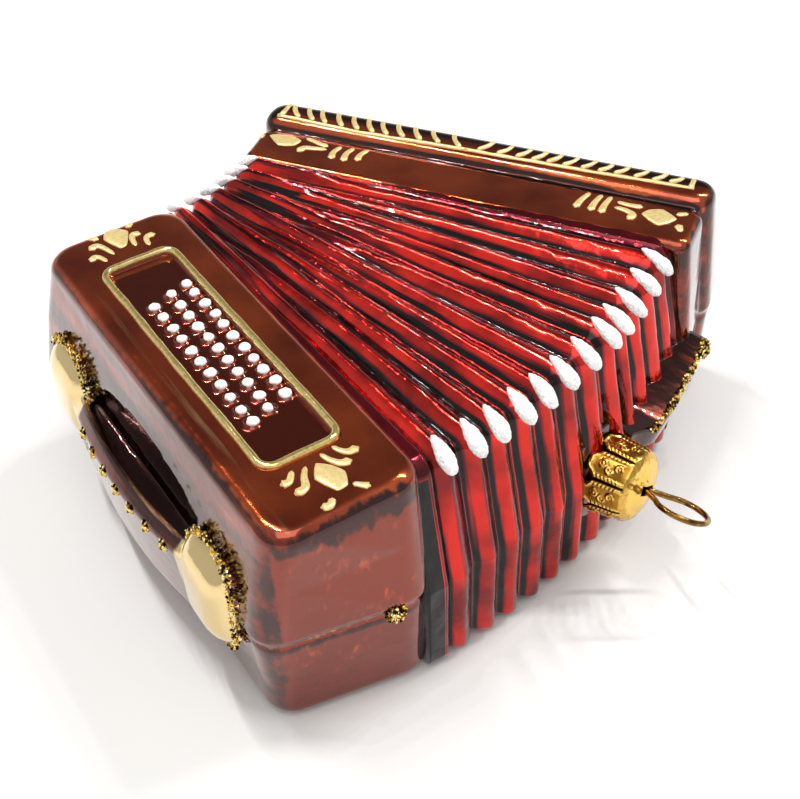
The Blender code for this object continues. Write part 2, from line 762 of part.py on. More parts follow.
def stroke(name, points, side, width, level, clearance):
    """One brush stroke of gold enamel on a casing's front."""
    path = [(x * MM, y * MM, level + 0.15 * MM) for x, y in points]
    made = tube_mesh(name, path, width * MM / 2, False)
    piece = object_of(name, made, casing_matrix(side), GOLD_ENAMEL)
    combine(piece, clearance, "DIFFERENCE")


def petal(name, along, out, size, side, level, clearance):
    """The broad middle petal of a painted flower."""
    place = Matrix.Translation((along * MM, out * MM, level + 0.1 * MM))
    turned = place @ Matrix.Rotation(math.radians(8), 4, "Z")
    scale = (size[0] * MM, size[1] * MM, 1.5 * MM)
    piece = bead(name, scale, casing_matrix(side) @ turned, GOLD_ENAMEL, 10, 6)
    combine(piece, clearance, "DIFFERENCE")


def flowers(clear):
    """The four painted flowers with their strokes, two on each casing."""
    petal("flower_middle_button_near", 120.6, 12.2, (6.4, 4.2), -1, HEIGHT, clear["button"])
    petal("flower_middle_button_far", 42.9, 13.1, (6.0, 4.0), -1, HEIGHT, clear["button"])
    petal("flower_middle_grille_near", 121.9, 6.2, (6.4, 4.2), 1, BAND_HEIGHT, clear["band"])
    petal("flower_middle_grille_far", 42.6, 7.2, (6.6, 3.8), 1, BAND_HEIGHT, clear["band"])
    near_strokes = (
        [(117.6, 5.8), (117.0, 7.5), (115.6, 8.5)],
        [(119.0, 7.9), (117.9, 9.4), (115.9, 10.4)],
        [(117.8, 19.0), (117.4, 17.8), (116.2, 16.7)],
        [(120.7, 18.1), (120.2, 16.6), (118.3, 15.6), (116.9, 14.6)],
        [(125.6, 8.5), (124.1, 10.0)],
        [(124.8, 14.6), (125.7, 16.2)],
    )
    far_strokes = (
        [(44.6, 9.0), (45.2, 10.1), (47.9, 10.7)],
        [(46.4, 7.0), (46.9, 8.2), (49.0, 8.9)],
        [(41.2, 9.8), (40.6, 8.6)],
        [(41.6, 16.4), (40.4, 17.4)],
        [(43.8, 18.3), (44.6, 16.9), (47.6, 15.7)],
        [(46.9, 19.6), (47.2, 18.4), (49.0, 17.7)],
    )
    for label, strokes in (("near", near_strokes), ("far", far_strokes)):
        for index, points in enumerate(strokes):
            stroke(f"stroke_button_{label}_{index + 1}", points, -1, 1.3, HEIGHT, clear["button"])
    bars = (
        ("bar_grille_far_1", (54.4, 4.6), (54.7, 8.6)),
        ("bar_grille_far_2", (57.1, 4.6), (57.4, 8.8)),
        ("bar_grille_far_3", (59.8, 5.6), (60.3, 9.0)),
        ("bar_grille_near_1", (106.1, 4.6), (107.0, 9.2)),
        ("bar_grille_near_2", (109.0, 4.5), (109.5, 9.2)),
        ("bar_grille_near_3", (111.1, 4.4), (111.6, 9.2)),
    )
    for name, foot, tip in bars:
        stroke(name, [foot, tip], 1, 1.2, BAND_HEIGHT, clear["band"])
    far_curl = [(47.4, 5.0), (48.2, 6.0), (50.2, 6.5), (52.2, 6.9)]
    near_curl = [(113.6, 6.6), (115.3, 6.2), (116.9, 5.0)]
    stroke("curl_grille_far", far_curl, 1, 1.3, BAND_HEIGHT, clear["band"])
    stroke("curl_grille_near", near_curl, 1, 1.3, BAND_HEIGHT, clear["band"])


def glitter(clear):
    """Granular gold: the studs of the hand strap, and one on the end of each casing."""
    first, last = STUD_ALONG
    for index in range(STUDS):
        along = first + (last - first) * index / (STUDS - 1)
        out = strap_centre(along) + STRAP_THICKNESS / 2
        place = casing_matrix(-1) @ Matrix.Translation((along, out, STUD_HEIGHT))
        stud = bead(f"glitter_stud_{index + 1}", (2.3 * MM, 2.0 * MM, 2.3 * MM), place, GOLD_GLITTER)
        combine(stud, clear["strap"], "DIFFERENCE")
    button_stud = casing_matrix(-1) @ Matrix.Translation((129.8 * MM, 7.1 * MM, 20.6 * MM))
    stud = bead("glitter_stud_button_casing", (3.6 * MM, 3.8 * MM, 3.8 * MM), button_stud, GOLD_GLITTER)
    combine(stud, clear["button"], "DIFFERENCE")
    grille_stud = bellows_place(math.radians(17.6), 135.2 * MM, 22.4 * MM, 0)
    stud = bead("glitter_stud_grille_casing", (2.6 * MM, 3.6 * MM, 4.2 * MM), grille_stud, GOLD_GLITTER)
    combine(stud, clear["ledge"], "DIFFERENCE")


def cap_profile():
    """Half sections of the cap's sheet, outside from mouth to top and back inside."""
    inner_mouth = CAP_RADIUS - CAP_SHEET
    shoulder = 2.2 * MM
    outside = [(CAP_MOUTH, CAP_RADIUS + 0.2 * MM), (CAP_MOUTH + 4.5 * MM, CAP_RADIUS)]
    for step in range(5):
        angle = step / 4 * math.pi / 2
        outside.append(
            (
                CAP_TOP - shoulder * (1 - math.sin(angle)),
                CAP_RADIUS - 0.1 * MM - shoulder * (1 - math.cos(angle)),
            )
        )
    inside = [(CAP_TOP - CAP_SHEET, CAP_RADIUS - shoulder - 0.1 * MM)]
    for step in (2, 4):
        angle = math.pi / 2 * (1 - step / 4)
        inside.append(
            (
                CAP_TOP - CAP_SHEET - (shoulder - CAP_SHEET) * (1 - math.sin(angle)),
                inner_mouth - 0.1 * MM - (shoulder - CAP_SHEET) * (1 - math.cos(angle)),
            )
        )
    inside.append((CAP_MOUTH, inner_mouth + 0.2 * MM))
    return outside, inside


def hanger_cap():
    """The crown cap: a turned bowl with eight petals and the wire's slot."""
    outside, inside = cap_profile()
    path = [*outside, (CAP_TOP, 0.0), (CAP_TOP - CAP_SHEET, 0.0), *inside]
    made = bmesh.new()
    corners = [made.verts.new((x, 0, radius)) for x, radius in path]
    for first, second in zip(corners, corners[1:] + corners[:1]):
        if first.co.z > 0 or second.co.z > 0:
            made.edges.new((first, second))
    cap = object_of("hanger_cap", made, cap_matrix(), CAP_BRASS)
    turned = cap.modifiers.new("turned", "SCREW")
    turned.axis = "X"
    turned.steps = 32
    turned.render_steps = 32
    turned.use_merge_vertices = True
    turned.merge_threshold = 0.00001
    turned.use_normal_flip = False
    for index in range(PETALS):
        cap_cut(cap, index)
    slot = block(
        (CAP_TOP - 2 * MM, -SLOT_LENGTH / 2, -SLOT_WIDTH / 2),
        (CAP_TOP + 2 * MM, SLOT_LENGTH / 2, SLOT_WIDTH / 2),
    )
    combine(cap, object_of("cap_slot_cut", slot, cap_matrix()), "DIFFERENCE")
    return cap


def cap_cut(cap, index):
    """One tapering gap between two petals of the cap, widest at the mouth."""
    wide, narrow, deepest = 1.5 * MM, 0.5 * MM, CAP_MOUTH + 6.4 * MM
    outline = [
        (CAP_MOUTH - 1 * MM, -wide),
        (CAP_MOUTH + 1.1 * MM, -narrow),
        (deepest, -narrow * 0.7),
        (deepest, narrow * 0.7),
        (CAP_MOUTH + 1.1 * MM, narrow),
        (CAP_MOUTH - 1 * MM, wide),
    ]
    rings = [[(x, y, level) for x, y in outline] for level in (CAP_RADIUS - 2 * MM, CAP_RADIUS + 2 * MM)]
    turn = Matrix.Rotation(2 * math.pi * (index + 0.5) / PETALS, 4, "X")
    combine(cap, object_of(f"petal_gap_cut_{index}", loft(rings), cap_matrix() @ turn), "DIFFERENCE")


def hanger_path():
    """The wire's middle line: a leg, the ring outside the cap, and the other leg."""
    slot_x, leg_x, leg_y, slot_y = CAP_TOP, 2.2 * MM, 3.3 * MM, 1.25 * MM
    ring_middle = (RING_END + CAP_TOP) / 2 + 0.7 * MM
    ring_half = RING_END - ring_middle - WIRE_RADIUS
    half = [(leg_x, leg_y), (leg_x + 4 * MM, leg_y - 0.6 * MM), (slot_x - 1.6 * MM, slot_y)]
    half.append((slot_x + 0.6 * MM, slot_y))
    steps = 9
    for step in range(steps + 1):
        angle = math.radians(145) * (1 - step / steps)
        half.append(
            (
                ring_middle + ring_half * math.cos(angle),
                (RING_HALF_WIDTH - WIRE_RADIUS) * math.sin(angle),
            )
        )
    other = [(x, -y) for x, y in reversed(half[:-1])]
    return [(x, y, 0.0) for x, y in [*half, *other]]


def hanger_wire():
    """The spring wire with its ring, drooping a little from the cap's axis."""
    pivot = Matrix.Translation((CAP_TOP, 0, 0))
    made = tube_mesh("hanger", hanger_path(), WIRE_RADIUS, False, 2)
    bmesh.ops.translate(made, vec=(-CAP_TOP, 0, 0), verts=made.verts)
    droop = Matrix.Rotation(HANGER_DROOP, 4, "Y")
    return object_of("hanger_wire", made, cap_matrix() @ pivot @ droop, WIRE_GOLD)


def build():
    """Makes every named piece."""
    glass_shell()
    clear = clearances()
    panel_frame(clear)
    for name, ends, feet, slats, lean in GRILLES:
        grille_gold(clear, name, ends, feet, slats, lean)
    flowers(clear)
    enamel_tips(clear)
    glitter(clear)
    hanger_cap()
    hanger_wire()


build()
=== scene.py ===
"""Studio view of a blown-glass tree ornament in the shape of a button accordion.

The glass is silvered inside and lacquered outside in oxblood brown and red. Gold
enamel, crystalline white enamel and glitter are laid on it by hand, and a stamped
brass crown cap holds the wire ring that it hangs from.
"""

import logging
import random
from dataclasses import dataclass, field
from enum import Enum
from math import (
    atan2, copysign, cos, degrees, dist, exp, hypot, pi, radians, sin, sqrt, tan, tanh, tau
)
from typing import Any, Callable, Iterable, Sequence

import bpy
from mathutils import Euler, Matrix, Vector, noise

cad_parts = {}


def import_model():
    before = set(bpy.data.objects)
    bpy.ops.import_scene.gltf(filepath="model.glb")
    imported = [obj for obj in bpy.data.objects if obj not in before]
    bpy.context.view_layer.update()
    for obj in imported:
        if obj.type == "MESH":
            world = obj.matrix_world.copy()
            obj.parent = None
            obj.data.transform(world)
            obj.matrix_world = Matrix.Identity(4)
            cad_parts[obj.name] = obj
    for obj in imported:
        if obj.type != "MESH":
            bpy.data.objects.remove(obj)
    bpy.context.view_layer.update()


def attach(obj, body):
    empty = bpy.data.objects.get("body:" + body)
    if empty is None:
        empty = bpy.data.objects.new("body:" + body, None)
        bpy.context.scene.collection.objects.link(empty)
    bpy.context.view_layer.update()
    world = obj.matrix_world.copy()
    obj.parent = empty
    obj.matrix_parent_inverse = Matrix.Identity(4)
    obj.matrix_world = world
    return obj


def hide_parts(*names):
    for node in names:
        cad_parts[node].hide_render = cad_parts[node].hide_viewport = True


MM = 0.001
Point = tuple[float, float, float]
Colour = tuple[float, float, float, float]
Pair = tuple[float, float]
Spots = Sequence[Pair]
Stops = tuple[tuple[float, str], ...]
Inputs = dict[str | int, Any]
Surface = Callable[[float, float], float]
Piece = bpy.types.Object
log = logging.getLogger("ornament")


class Side(Enum):
    """The two casings, by the sign of their place along Y."""

    BUTTON = -1
    GRILLE = 1


def paint(code: str) -> Colour:
    """Turns an sRGB hex colour into the linear RGBA that shaders read.

    Args:
        code: Six hex digits, with or without a leading hash.

    Returns:
        Linear red, green, blue and an alpha of 1.
    """
    digits = code.lstrip("#")
    values = [int(digits[start : start + 2], 16) / 255 for start in (0, 2, 4)]
    linear = [v / 12.92 if v <= 0.04045 else ((v + 0.055) / 1.055) ** 2.4 for v in values]
    return (linear[0], linear[1], linear[2], 1.0)


def mm(*sizes: float) -> Point:
    """Turns sizes in millimetres to metres."""
    return tuple(size * MM for size in sizes)


def add_node(
    tree: bpy.types.NodeTree,
    kind: str,
    inputs: Inputs | None = None,
    out: str | int = 0,
    stops: Sequence[tuple[float, str]] = (),
    **settings: Any,
) -> bpy.types.NodeSocket | None:
    """Adds one shader node with its settings and links.

    Args:
        tree: The material's or world's node tree.
        kind: The node's type, without the leading ShaderNode.
        inputs: For each input, by name or number, a value, a hex colour or the socket that feeds it.
        out: The output that is wanted, by name or number.
        stops: The places and hex colours of a colour ramp.
        settings: The node's own properties.

    Returns:
        The output, or None for the node that ends a tree.
    """
    node = tree.nodes.new("ShaderNode" + kind)
    for name, value in settings.items():
        setattr(node, name, value)
    for key, value in (inputs or {}).items():
        if isinstance(value, bpy.types.NodeSocket):
            tree.links.new(value, node.inputs[key])
        else:
            node.inputs[key].default_value = paint(value) if isinstance(value, str) else value
    for index, (place, colour) in enumerate(stops):
        elements = node.color_ramp.elements
        element = elements[index] if index < len(elements) else elements.new(place)
        element.position = place
        element.color = paint(colour)
    return node.outputs[out] if node.outputs else None


def smooth_step(low: float, high: float, value: float) -> float:
    """Rises smoothly from 0 at low to 1 at high."""
    share = min(max((value - low) / (high - low), 0.0), 1.0)
    return share * share * (3 - 2 * share)


def wobble(point: Sequence[float], size: float, seed: float = 0.0) -> float:
    """Smooth noise from about -1 to 1 whose bumps are about size metres wide."""
    return noise.noise(Vector(point) / size + Vector((seed, seed * 1.7, -seed)))


@dataclass(frozen=True)
class Fan:
    """The fan that the bellows open to, which the whole glass is laid out in."""

    centre: Pair = (-88.25 * MM, 3.05 * MM)
    half_angle: float = radians(17.34)
    height: float = 48.0
    seam: float = 21.0

    def casing(self, side: Side) -> Matrix:
        """Maps (along, outwards, up) of a casing to the object's frame."""
        turn = Matrix.Rotation(side.value * self.half_angle, 4, "Z")
        return Matrix.Translation((*self.centre, 0)) @ turn @ Matrix.Diagonal((1, side.value, 1, 1))

    def point(self, angle: float, radius: float, level: float) -> Point:
        """The place at an angle, and a radius and level in millimetres, in the object's frame."""
        reach = radius * MM
        return (self.centre[0] + reach * cos(angle), self.centre[1] + reach * sin(angle), level * MM)

    def on_bellows(self, angle: float, radius: float, level: float, dip: float) -> Matrix:
        """A frame on the bellows: X along the pleat and dipping, Z outwards."""
        turn = Matrix.Rotation(angle, 4, "Z")
        place = Matrix.Translation(self.point(angle, radius, level))
        return place @ turn @ Matrix.Rotation(dip, 4, "Y")


FAN = Fan()


class Bench:
    """The modelling steps that the pieces share."""

    @staticmethod
    def clear_selection() -> None:
        """Deselects every object."""
        bpy.ops.object.select_all(action="DESELECT")

    @staticmethod
    def take(name: str) -> Piece:
        """Names the object that was just added, and its mesh, and returns it."""
        piece = bpy.context.view_layer.objects.active
        piece.name = name
        piece.data.name = name
        return piece

    @staticmethod
    def make_active(piece: Piece) -> None:
        """Makes a piece the only selected and the active one."""
        Bench.clear_selection()
        piece.select_set(True)
        bpy.context.view_layer.objects.active = piece

    @staticmethod
    def lofted(name: str, rings: Sequence[Sequence[Point]], capped: bool = True) -> Piece:
        """Shapes a grid into the skin through rings of equally many points.

        Args:
            name: The new piece's name.
            rings: Closed outlines, in order.
            capped: Whether the first and last outlines are closed with a face.

        Returns:
            The closed piece, with its faces pointing out.
        """
        Bench.clear_selection()
        around, along = len(rings[0]), len(rings) - 1
        bpy.ops.mesh.primitive_grid_add(x_subdivisions=around, y_subdivisions=along, size=2)
        piece = Bench.take(name)
        for vertex in piece.data.vertices:
            turn = round((vertex.co.x + 1) / 2 * around) % around
            ring = round((vertex.co.y + 1) / 2 * along)
            vertex.co = rings[ring][turn]
        bpy.ops.object.mode_set(mode="EDIT")
        bpy.ops.mesh.select_all(action="SELECT")
        bpy.ops.mesh.remove_doubles(threshold=1e-6)
        if capped:
            bpy.ops.mesh.fill_holes(sides=0)
        bpy.ops.mesh.select_all(action="SELECT")
        bpy.ops.mesh.normals_make_consistent(inside=False)
        bpy.ops.object.mode_set(mode="OBJECT")
        return piece

    @staticmethod
    def place(piece: Piece, matrix: Matrix) -> None:
        """Moves a piece's mesh by a matrix, and keeps its faces pointing out."""
        piece.data.transform(matrix)
        if matrix.determinant() < 0:
            piece.data.flip_normals()

    @staticmethod
    def use_modifier(piece: Piece, kind: str, **settings: Any) -> None:
        """Adds a modifier and applies it."""
        Bench.make_active(piece)
        modifier = piece.modifiers.new(kind.lower(), kind)
        for name, value in settings.items():
            setattr(modifier, name, value)
        bpy.ops.object.modifier_apply(modifier=modifier.name)

    @staticmethod
    def combine(piece: Piece, other: Piece, operation: str) -> None:
        """Joins or cuts a piece with another, which is used up."""
        Bench.use_modifier(piece, "BOOLEAN", operation=operation, object=other, solver="EXACT")
        bpy.data.objects.remove(other)

    @staticmethod
    def joined(name: str, pieces: Sequence[Piece]) -> Piece:
        """Joins pieces into one object of the name."""
        Bench.make_active(pieces[0])
        for piece in pieces:
            piece.select_set(True)
        bpy.ops.object.join()
        return Bench.take(name)

    @staticmethod
    def soften(piece: Piece, voxel: float, rounds: int) -> None:
        """Melts a piece into one fine even skin, as blown glass has."""
        Bench.use_modifier(piece, "REMESH", mode="VOXEL", voxel_size=voxel)
        Bench.use_modifier(piece, "SMOOTH", factor=0.5, iterations=rounds)

    @staticmethod
    def bead(name: str, path: Sequence[Point], radii: Sequence[float], closed: bool = False) -> Piece:
        """A round bead of varying thickness along a path, as a mesh.

        Args:
            name: The new piece's name.
            path: The bead's middle line.
            radii: The bead's radius at each point of the path.
            closed: Whether the path closes on itself.

        Returns:
            The bead as a closed mesh.
        """
        curve = bpy.data.curves.new(name, "CURVE")
        curve.dimensions = "3D"
        curve.bevel_depth = 1.0
        curve.bevel_resolution = 3
        curve.use_fill_caps = not closed
        spline = curve.splines.new("POLY")
        spline.points.add(len(path) - 1)
        for point, place, radius in zip(spline.points, path, radii):
            point.co = (*place, 1)
            point.radius = radius
        spline.use_cyclic_u = closed
        guide = bpy.data.objects.new(name, curve)
        bpy.context.scene.collection.objects.link(guide)
        Bench.make_active(guide)
        bpy.ops.object.convert(target="MESH")
        piece = Bench.take(name)
        bpy.ops.object.mode_set(mode="EDIT")
        bpy.ops.mesh.select_all(action="SELECT")
        bpy.ops.mesh.remove_doubles(threshold=1e-6)
        bpy.ops.mesh.normals_make_consistent(inside=False)
        bpy.ops.object.mode_set(mode="OBJECT")
        return piece

    @staticmethod
    def drop(name: str, size: Point, detail: int = 4) -> Piece:
        """A round drop of the size, centred on the origin."""
        Bench.clear_selection()
        bpy.ops.mesh.primitive_ico_sphere_add(subdivisions=detail, radius=0.5)
        piece = Bench.take(name)
        piece.data.transform(Matrix.Diagonal((*size, 1)))
        return piece

    @staticmethod
    def shape(piece: Piece, rule: Callable[[Vector], Vector]) -> None:
        """Moves every vertex of a piece by a rule."""
        for vertex in piece.data.vertices:
            vertex.co = rule(vertex.co)

    @staticmethod
    def roughen(piece: Piece, size: float, depth: float, seed: float = 0.0) -> None:
        """Moves every vertex along its normal by noise."""
        normals = [Vector(vertex.normal) for vertex in piece.data.vertices]
        for vertex, normal in zip(piece.data.vertices, normals):
            vertex.co += normal * depth * wobble(vertex.co, size, seed)

    @staticmethod
    def mark(piece: Piece, name: str, rule: Callable[[Vector], float]) -> None:
        """Keeps a number for every vertex, which a finish reads by its name."""
        layer = piece.data.attributes.new(name, "FLOAT", "POINT")
        layer.data.foreach_set("value", [rule(vertex.co) for vertex in piece.data.vertices])

    @staticmethod
    def finish(piece: Piece, finish: "Finish", body: str, slot: str, nodes: Iterable[str] = ()) -> None:
        """Shades, dresses and seats a piece.

        Args:
            piece: The finished mesh.
            finish: Its surface.
            body: The CAD body that it rides on.
            slot: The record's material slot; not used.
            nodes: The CAD nodes that it stands for.
        """
        Bench.make_active(piece)
        bpy.ops.object.shade_smooth()
        piece.data.materials.clear()
        piece.data.materials.append(finish.material())
        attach(piece, body)
        for node in nodes:
            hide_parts(node)
        log.info("%s: %d faces", piece.name, len(piece.data.polygons))


@dataclass(frozen=True)
class Finish:
    """A surface that a piece can be dressed in."""

    name: str

    def material(self) -> bpy.types.Material:
        """The finish's material, made on first use."""
        found = bpy.data.materials.get(self.name)
        if found is not None:
            return found
        made = bpy.data.materials.new(self.name)
        made.use_nodes = True
        tree = made.node_tree
        tree.nodes.clear()
        add_node(tree, "OutputMaterial", {"Surface": add_node(tree, "BsdfPrincipled", self.dress(tree))})
        return made

    def dress(self, tree: bpy.types.NodeTree) -> Inputs:
        """Draws the finish's pattern and gives what the shader's sockets get."""
        raise NotImplementedError


@dataclass(frozen=True)
class CasingLacquer(Finish):
    """Oxblood lacquer over silvered glass, with dark paint brushed along the edges, painted shade in grooves
    and hollows and painted highlights on rounded edges.
    """

    side: Side
    light: str = "#d8602e"
    deep: str = "#9a3c1e"
    plate: str = "#e6cc92"
    # The wash is real on the button panel and painted shade between the grille's slats; the edge paint is
    # brushed paint with painted shade; the light copper is a painted highlight
    marks: tuple[tuple[str, str], ...] = (
        ("panel_wash_and_slat_shade", "#7e2c16"),
        ("edge_paint_and_shade", "#38140f"),
        ("painted_highlight", "#f0b080"),
    )

    def dress(self, tree: bpy.types.NodeTree) -> Inputs:
        """Draws the finish's pattern and gives what the shader's sockets get."""
        casing = {
            "Vector": add_node(tree, "TexCoord", out="Object"),
            "Location": (*FAN.centre, 0),
            "Rotation": (0, 0, self.side.value * FAN.half_angle),
            "Scale": (1, self.side.value, 1),
        }
        local = add_node(tree, "Mapping", casing, vector_type="TEXTURE")
        # Brush marks about 1.2 mm wide and 30 mm long, drawn along the casing
        stretched = add_node(tree, "Mapping", {"Vector": local, "Scale": (34, 520, 300)})
        hairs = {"Vector": stretched, "Scale": 1.0, "Detail": 5.0, "Roughness": 0.62}
        streaks = add_node(tree, "TexNoise", hairs)
        swing = add_node(tree, "Math", {0: streaks, 1: 1.3, 2: -0.65}, operation="MULTIPLY_ADD")
        # Clouds in the transparent lacquer, about 20 mm wide
        clouds = add_node(tree, "TexNoise", {"Vector": local, "Scale": 60.0, "Detail": 3.0})
        tone = add_node(tree, "MapRange", {"Value": clouds, "From Min": 0.36, "From Max": 0.64})
        base = add_node(tree, "Mix", {0: tone, 6: self.deep, 7: self.light}, 2, data_type="RGBA")
        for name, colour in self.marks:
            amount = add_node(tree, "Attribute", out="Fac", attribute_name=name)
            reach = add_node(tree, "Math", {0: amount, 1: swing}, operation="ADD")
            ends = {"Value": reach, "From Min": 0.36, "From Max": 0.8}
            cover = add_node(tree, "MapRange", ends, interpolation_type="SMOOTHSTEP")
            base = add_node(tree, "Mix", {0: cover, 6: base, 7: colour}, 2, data_type="RGBA")
        gold = add_node(tree, "Attribute", out="Fac", attribute_name="plate_gold")
        # The wall is a little uneven where it was blown into its mould
        wall = add_node(tree, "TexNoise", {"Vector": local, "Scale": 190.0, "Detail": 2.5})
        return {
            "Base Color": add_node(tree, "Mix", {0: gold, 6: base, 7: self.plate}, 2, data_type="RGBA"),
            "Normal": add_node(tree, "Bump", {"Height": wall, "Strength": 0.3, "Distance": 0.0006}),
            "Metallic": 0.92,
            "Roughness": 0.14,
            "Coat Weight": 0.8,
            "Coat Roughness": 0.03,
        }


# WINE_SHADE is painted shade: the flank of each fold that faces away from the light is painted darker than
# the lit red flank
BLACK, WINE_SHADE, RED = "#120a0a", "#8a1a28", "#f42a1c"


@dataclass(frozen=True)
class BellowsLacquer(Finish):
    """Red lacquer over silvered glass, with black lines painted in the folds and one flank of every fold
    painted darker as shade.
    """

    near: Stops = (
        *((0.0, BLACK), (0.13, BLACK), (0.17, WINE_SHADE), (0.24, RED)),
        *((0.5, RED), (0.56, WINE_SHADE), (0.83, WINE_SHADE), (0.87, BLACK)),
    )
    far: Stops = (
        *((0.0, BLACK), (0.08, BLACK), (0.11, RED), (0.26, RED), (0.3, WINE_SHADE), (0.36, BLACK)),
        *((0.42, BLACK), (0.46, RED), (0.6, RED), (0.64, WINE_SHADE), (0.88, WINE_SHADE), (0.92, BLACK)),
    )

    def dress(self, tree: bpy.types.NodeTree) -> Inputs:
        """Draws the finish's pattern and gives what the shader's sockets get."""
        place = add_node(tree, "TexCoord", out="Object")
        sweep = add_node(tree, "Attribute", out="Vector", attribute_name="sweep")
        # A hand-held brush: its line swells and thins every 30 mm or so
        hand = add_node(tree, "TexNoise", {"Vector": sweep, "Scale": 1.0, "Detail": 3.0, "Roughness": 0.55})
        # The brush's hairs, which leave streaks a tenth of a fold wide
        drawn = add_node(tree, "Mapping", {"Vector": sweep, "Scale": (7.0, 1.6, 1.6)})
        hairs = add_node(tree, "TexNoise", {"Vector": drawn, "Scale": 1.0, "Detail": 2.0})
        strokes = []
        for name, reach, stops in (("flank_far", 0.7, self.far), ("flank_near", 0.45, self.near)):
            flank = add_node(tree, "Attribute", out="Fac", attribute_name=name)
            swing = add_node(tree, "Math", {0: hand, 1: reach, 2: -reach / 2 - 0.1}, operation="MULTIPLY_ADD")
            swing = add_node(tree, "Math", {0: hairs, 1: 0.2, 2: swing}, operation="MULTIPLY_ADD")
            across = add_node(tree, "Math", {0: flank, 1: swing}, operation="ADD")
            strokes.append(add_node(tree, "ValToRGB", {"Fac": across}, stops=stops))
        share = add_node(tree, "Attribute", out="Fac", attribute_name="near_share")
        colour = add_node(tree, "Mix", {0: share, 6: strokes[0], 7: strokes[1]}, 2, data_type="RGBA")
        # Where the lacquer ran thin the silver shows through, in patches of about 12 mm
        clouds = add_node(tree, "TexNoise", {"Vector": place, "Scale": 85.0, "Detail": 3.0})
        # The upright ends of the folds, below about 44 mm, are drawn darker and greyer
        level = add_node(tree, "SeparateXYZ", {"Vector": place}, "Z")
        for value, low, high, shade in ((clouds, 0.36, 0.6, "#9a8080"), (level, 0.042, 0.046, "#d8c8c4")):
            thin = add_node(tree, "MapRange", {"Value": value, "From Min": low, "From Max": high})
            coat = add_node(tree, "Mix", {0: thin, 6: shade, 7: "#ffffff"}, 2, data_type="RGBA")
            both = {0: 1.0, 6: colour, 7: coat}
            colour = add_node(tree, "Mix", both, 2, data_type="RGBA", blend_type="MULTIPLY")
        wall = add_node(tree, "TexNoise", {"Vector": place, "Scale": 260.0, "Detail": 2.5})
        return {
            "Base Color": colour,
            "Normal": add_node(tree, "Bump", {"Height": wall, "Strength": 0.45, "Distance": 0.0006}),
            "Metallic": 0.85,
            "Roughness": 0.14,
            "Coat Weight": 0.45,
            "Coat Roughness": 0.02,
        }


@dataclass(frozen=True)
class Grained(Finish):
    """Enamel or metal whose shade and relief follow one fine grain."""

    stops: Stops
    metallic: float
    roughness: float
    grain: float
    detail: float
    strength: float = 0.0
    relief: float = 0.0
    stamped: bool = False

    def dress(self, tree: bpy.types.NodeTree) -> Inputs:
        """Draws the finish's pattern and gives what the shader's sockets get."""
        place = add_node(tree, "TexCoord", out="Object")
        grain = add_node(tree, "TexNoise", {"Vector": place, "Scale": self.grain, "Detail": self.detail})
        shade = grain
        # Painted shade: the stamping's hollows are drawn darker than its raised parts
        if self.stamped:
            raised = add_node(tree, "Attribute", out="Fac", attribute_name="relief")
            shade = add_node(tree, "Math", {0: grain, 1: 0.5, 2: raised}, operation="MULTIPLY_ADD")
        sockets: Inputs = {
            "Base Color": add_node(tree, "ValToRGB", {"Fac": shade}, stops=self.stops),
            "Metallic": self.metallic,
            "Roughness": self.roughness,
        }
        if self.relief:
            bump = {"Height": grain, "Strength": self.strength, "Distance": self.relief}
            sockets["Normal"] = add_node(tree, "Bump", bump)
        return sockets


@dataclass(frozen=True)
class Glitter(Finish):
    """Gold glass grains bound in lacquer, each grain a facet of its own tone, the darkest standing as painted
    shade between grains and the brightest as painted glints.
    """

    # The near-black stop is painted shade between the grains and the near-white stop a painted glint
    stops: Stops = ((0.3, "#1c1404"), (0.38, "#c89a30"), (0.65, "#ffd860"), (0.95, "#fff6c0"))

    def dress(self, tree: bpy.types.NodeTree) -> Inputs:
        """Draws the finish's pattern and gives what the shader's sockets get."""
        shade = add_node(tree, "Attribute", out="Fac", attribute_name="grain_tone_and_painted_light")
        place = add_node(tree, "TexCoord", out="Object")
        # Lacquer film between the grains, about 0.3 mm
        film = add_node(tree, "TexNoise", {"Vector": place, "Scale": 3000.0, "Detail": 2.0})
        return {
            "Base Color": add_node(tree, "ValToRGB", {"Fac": shade}, stops=self.stops),
            "Roughness": add_node(tree, "MapRange", {"Value": film, "To Min": 0.08, "To Max": 0.24}),
            "Metallic": 0.85,
        }


BUTTON_LACQUER = CasingLacquer("casing_lacquer_button_side", Side.BUTTON)
GRILLE_LACQUER = CasingLacquer("casing_lacquer_grille_side", Side.GRILLE)
BELLOWS_LACQUER = BellowsLacquer("bellows_red_lacquer")
# Opaque enamel laid on with a brush, which cured with a grain of about 0.7 mm
GOLD_ENAMEL = Grained(
    "pale_gold_enamel", ((0.3, "#e4c67c"), (0.6, "#f4dc9c")), 0.45, 0.32, 1400.0, 4.0, 0.6, 0.00005
)
GOLD_LINE = Grained(
    "glossy_gold_line", ((0.3, "#d8b868"), (0.6, "#f6e09a")), 0.85, 0.16, 1400.0, 4.0, 0.6, 0.00005
)
WHITE_ENAMEL = Grained(
    "crystalline_white_enamel", ((0.3, "#dcdad6"), (0.6, "#ffffff")), 0.0, 0.45, 2200.0, 4.0, 0.6, 0.00012
)
GOLD_GLITTER = Glitter("glass_grain_glitter")
# Thin bright sheet with the hammered grain of its die, about 0.5 mm; its hollows get painted shade
CAP_BRASS = Grained(
    "stamped_brass", ((0.3, "#a4742a"), (0.75, "#ecc262")), 1.0, 0.22, 1500.0, 3.0, 0.35, 0.0001, True
)
# Spring wire, gold plated and darkened with age in spots of about 1.4 mm
WIRE_GOLD = Grained("dark_gold_wire", ((0.35, "#4a3216"), (0.62, "#a87c3c")), 1.0, 0.13, 700.0, 4.0)


def rounded_level(top: float, fillet: float, beyond: float) -> float:
    """The level of a front with a rounded edge, at a distance beyond where its round begins."""
    return top - fillet + sqrt(fillet**2 - min(beyond, fillet * 0.98) ** 2)


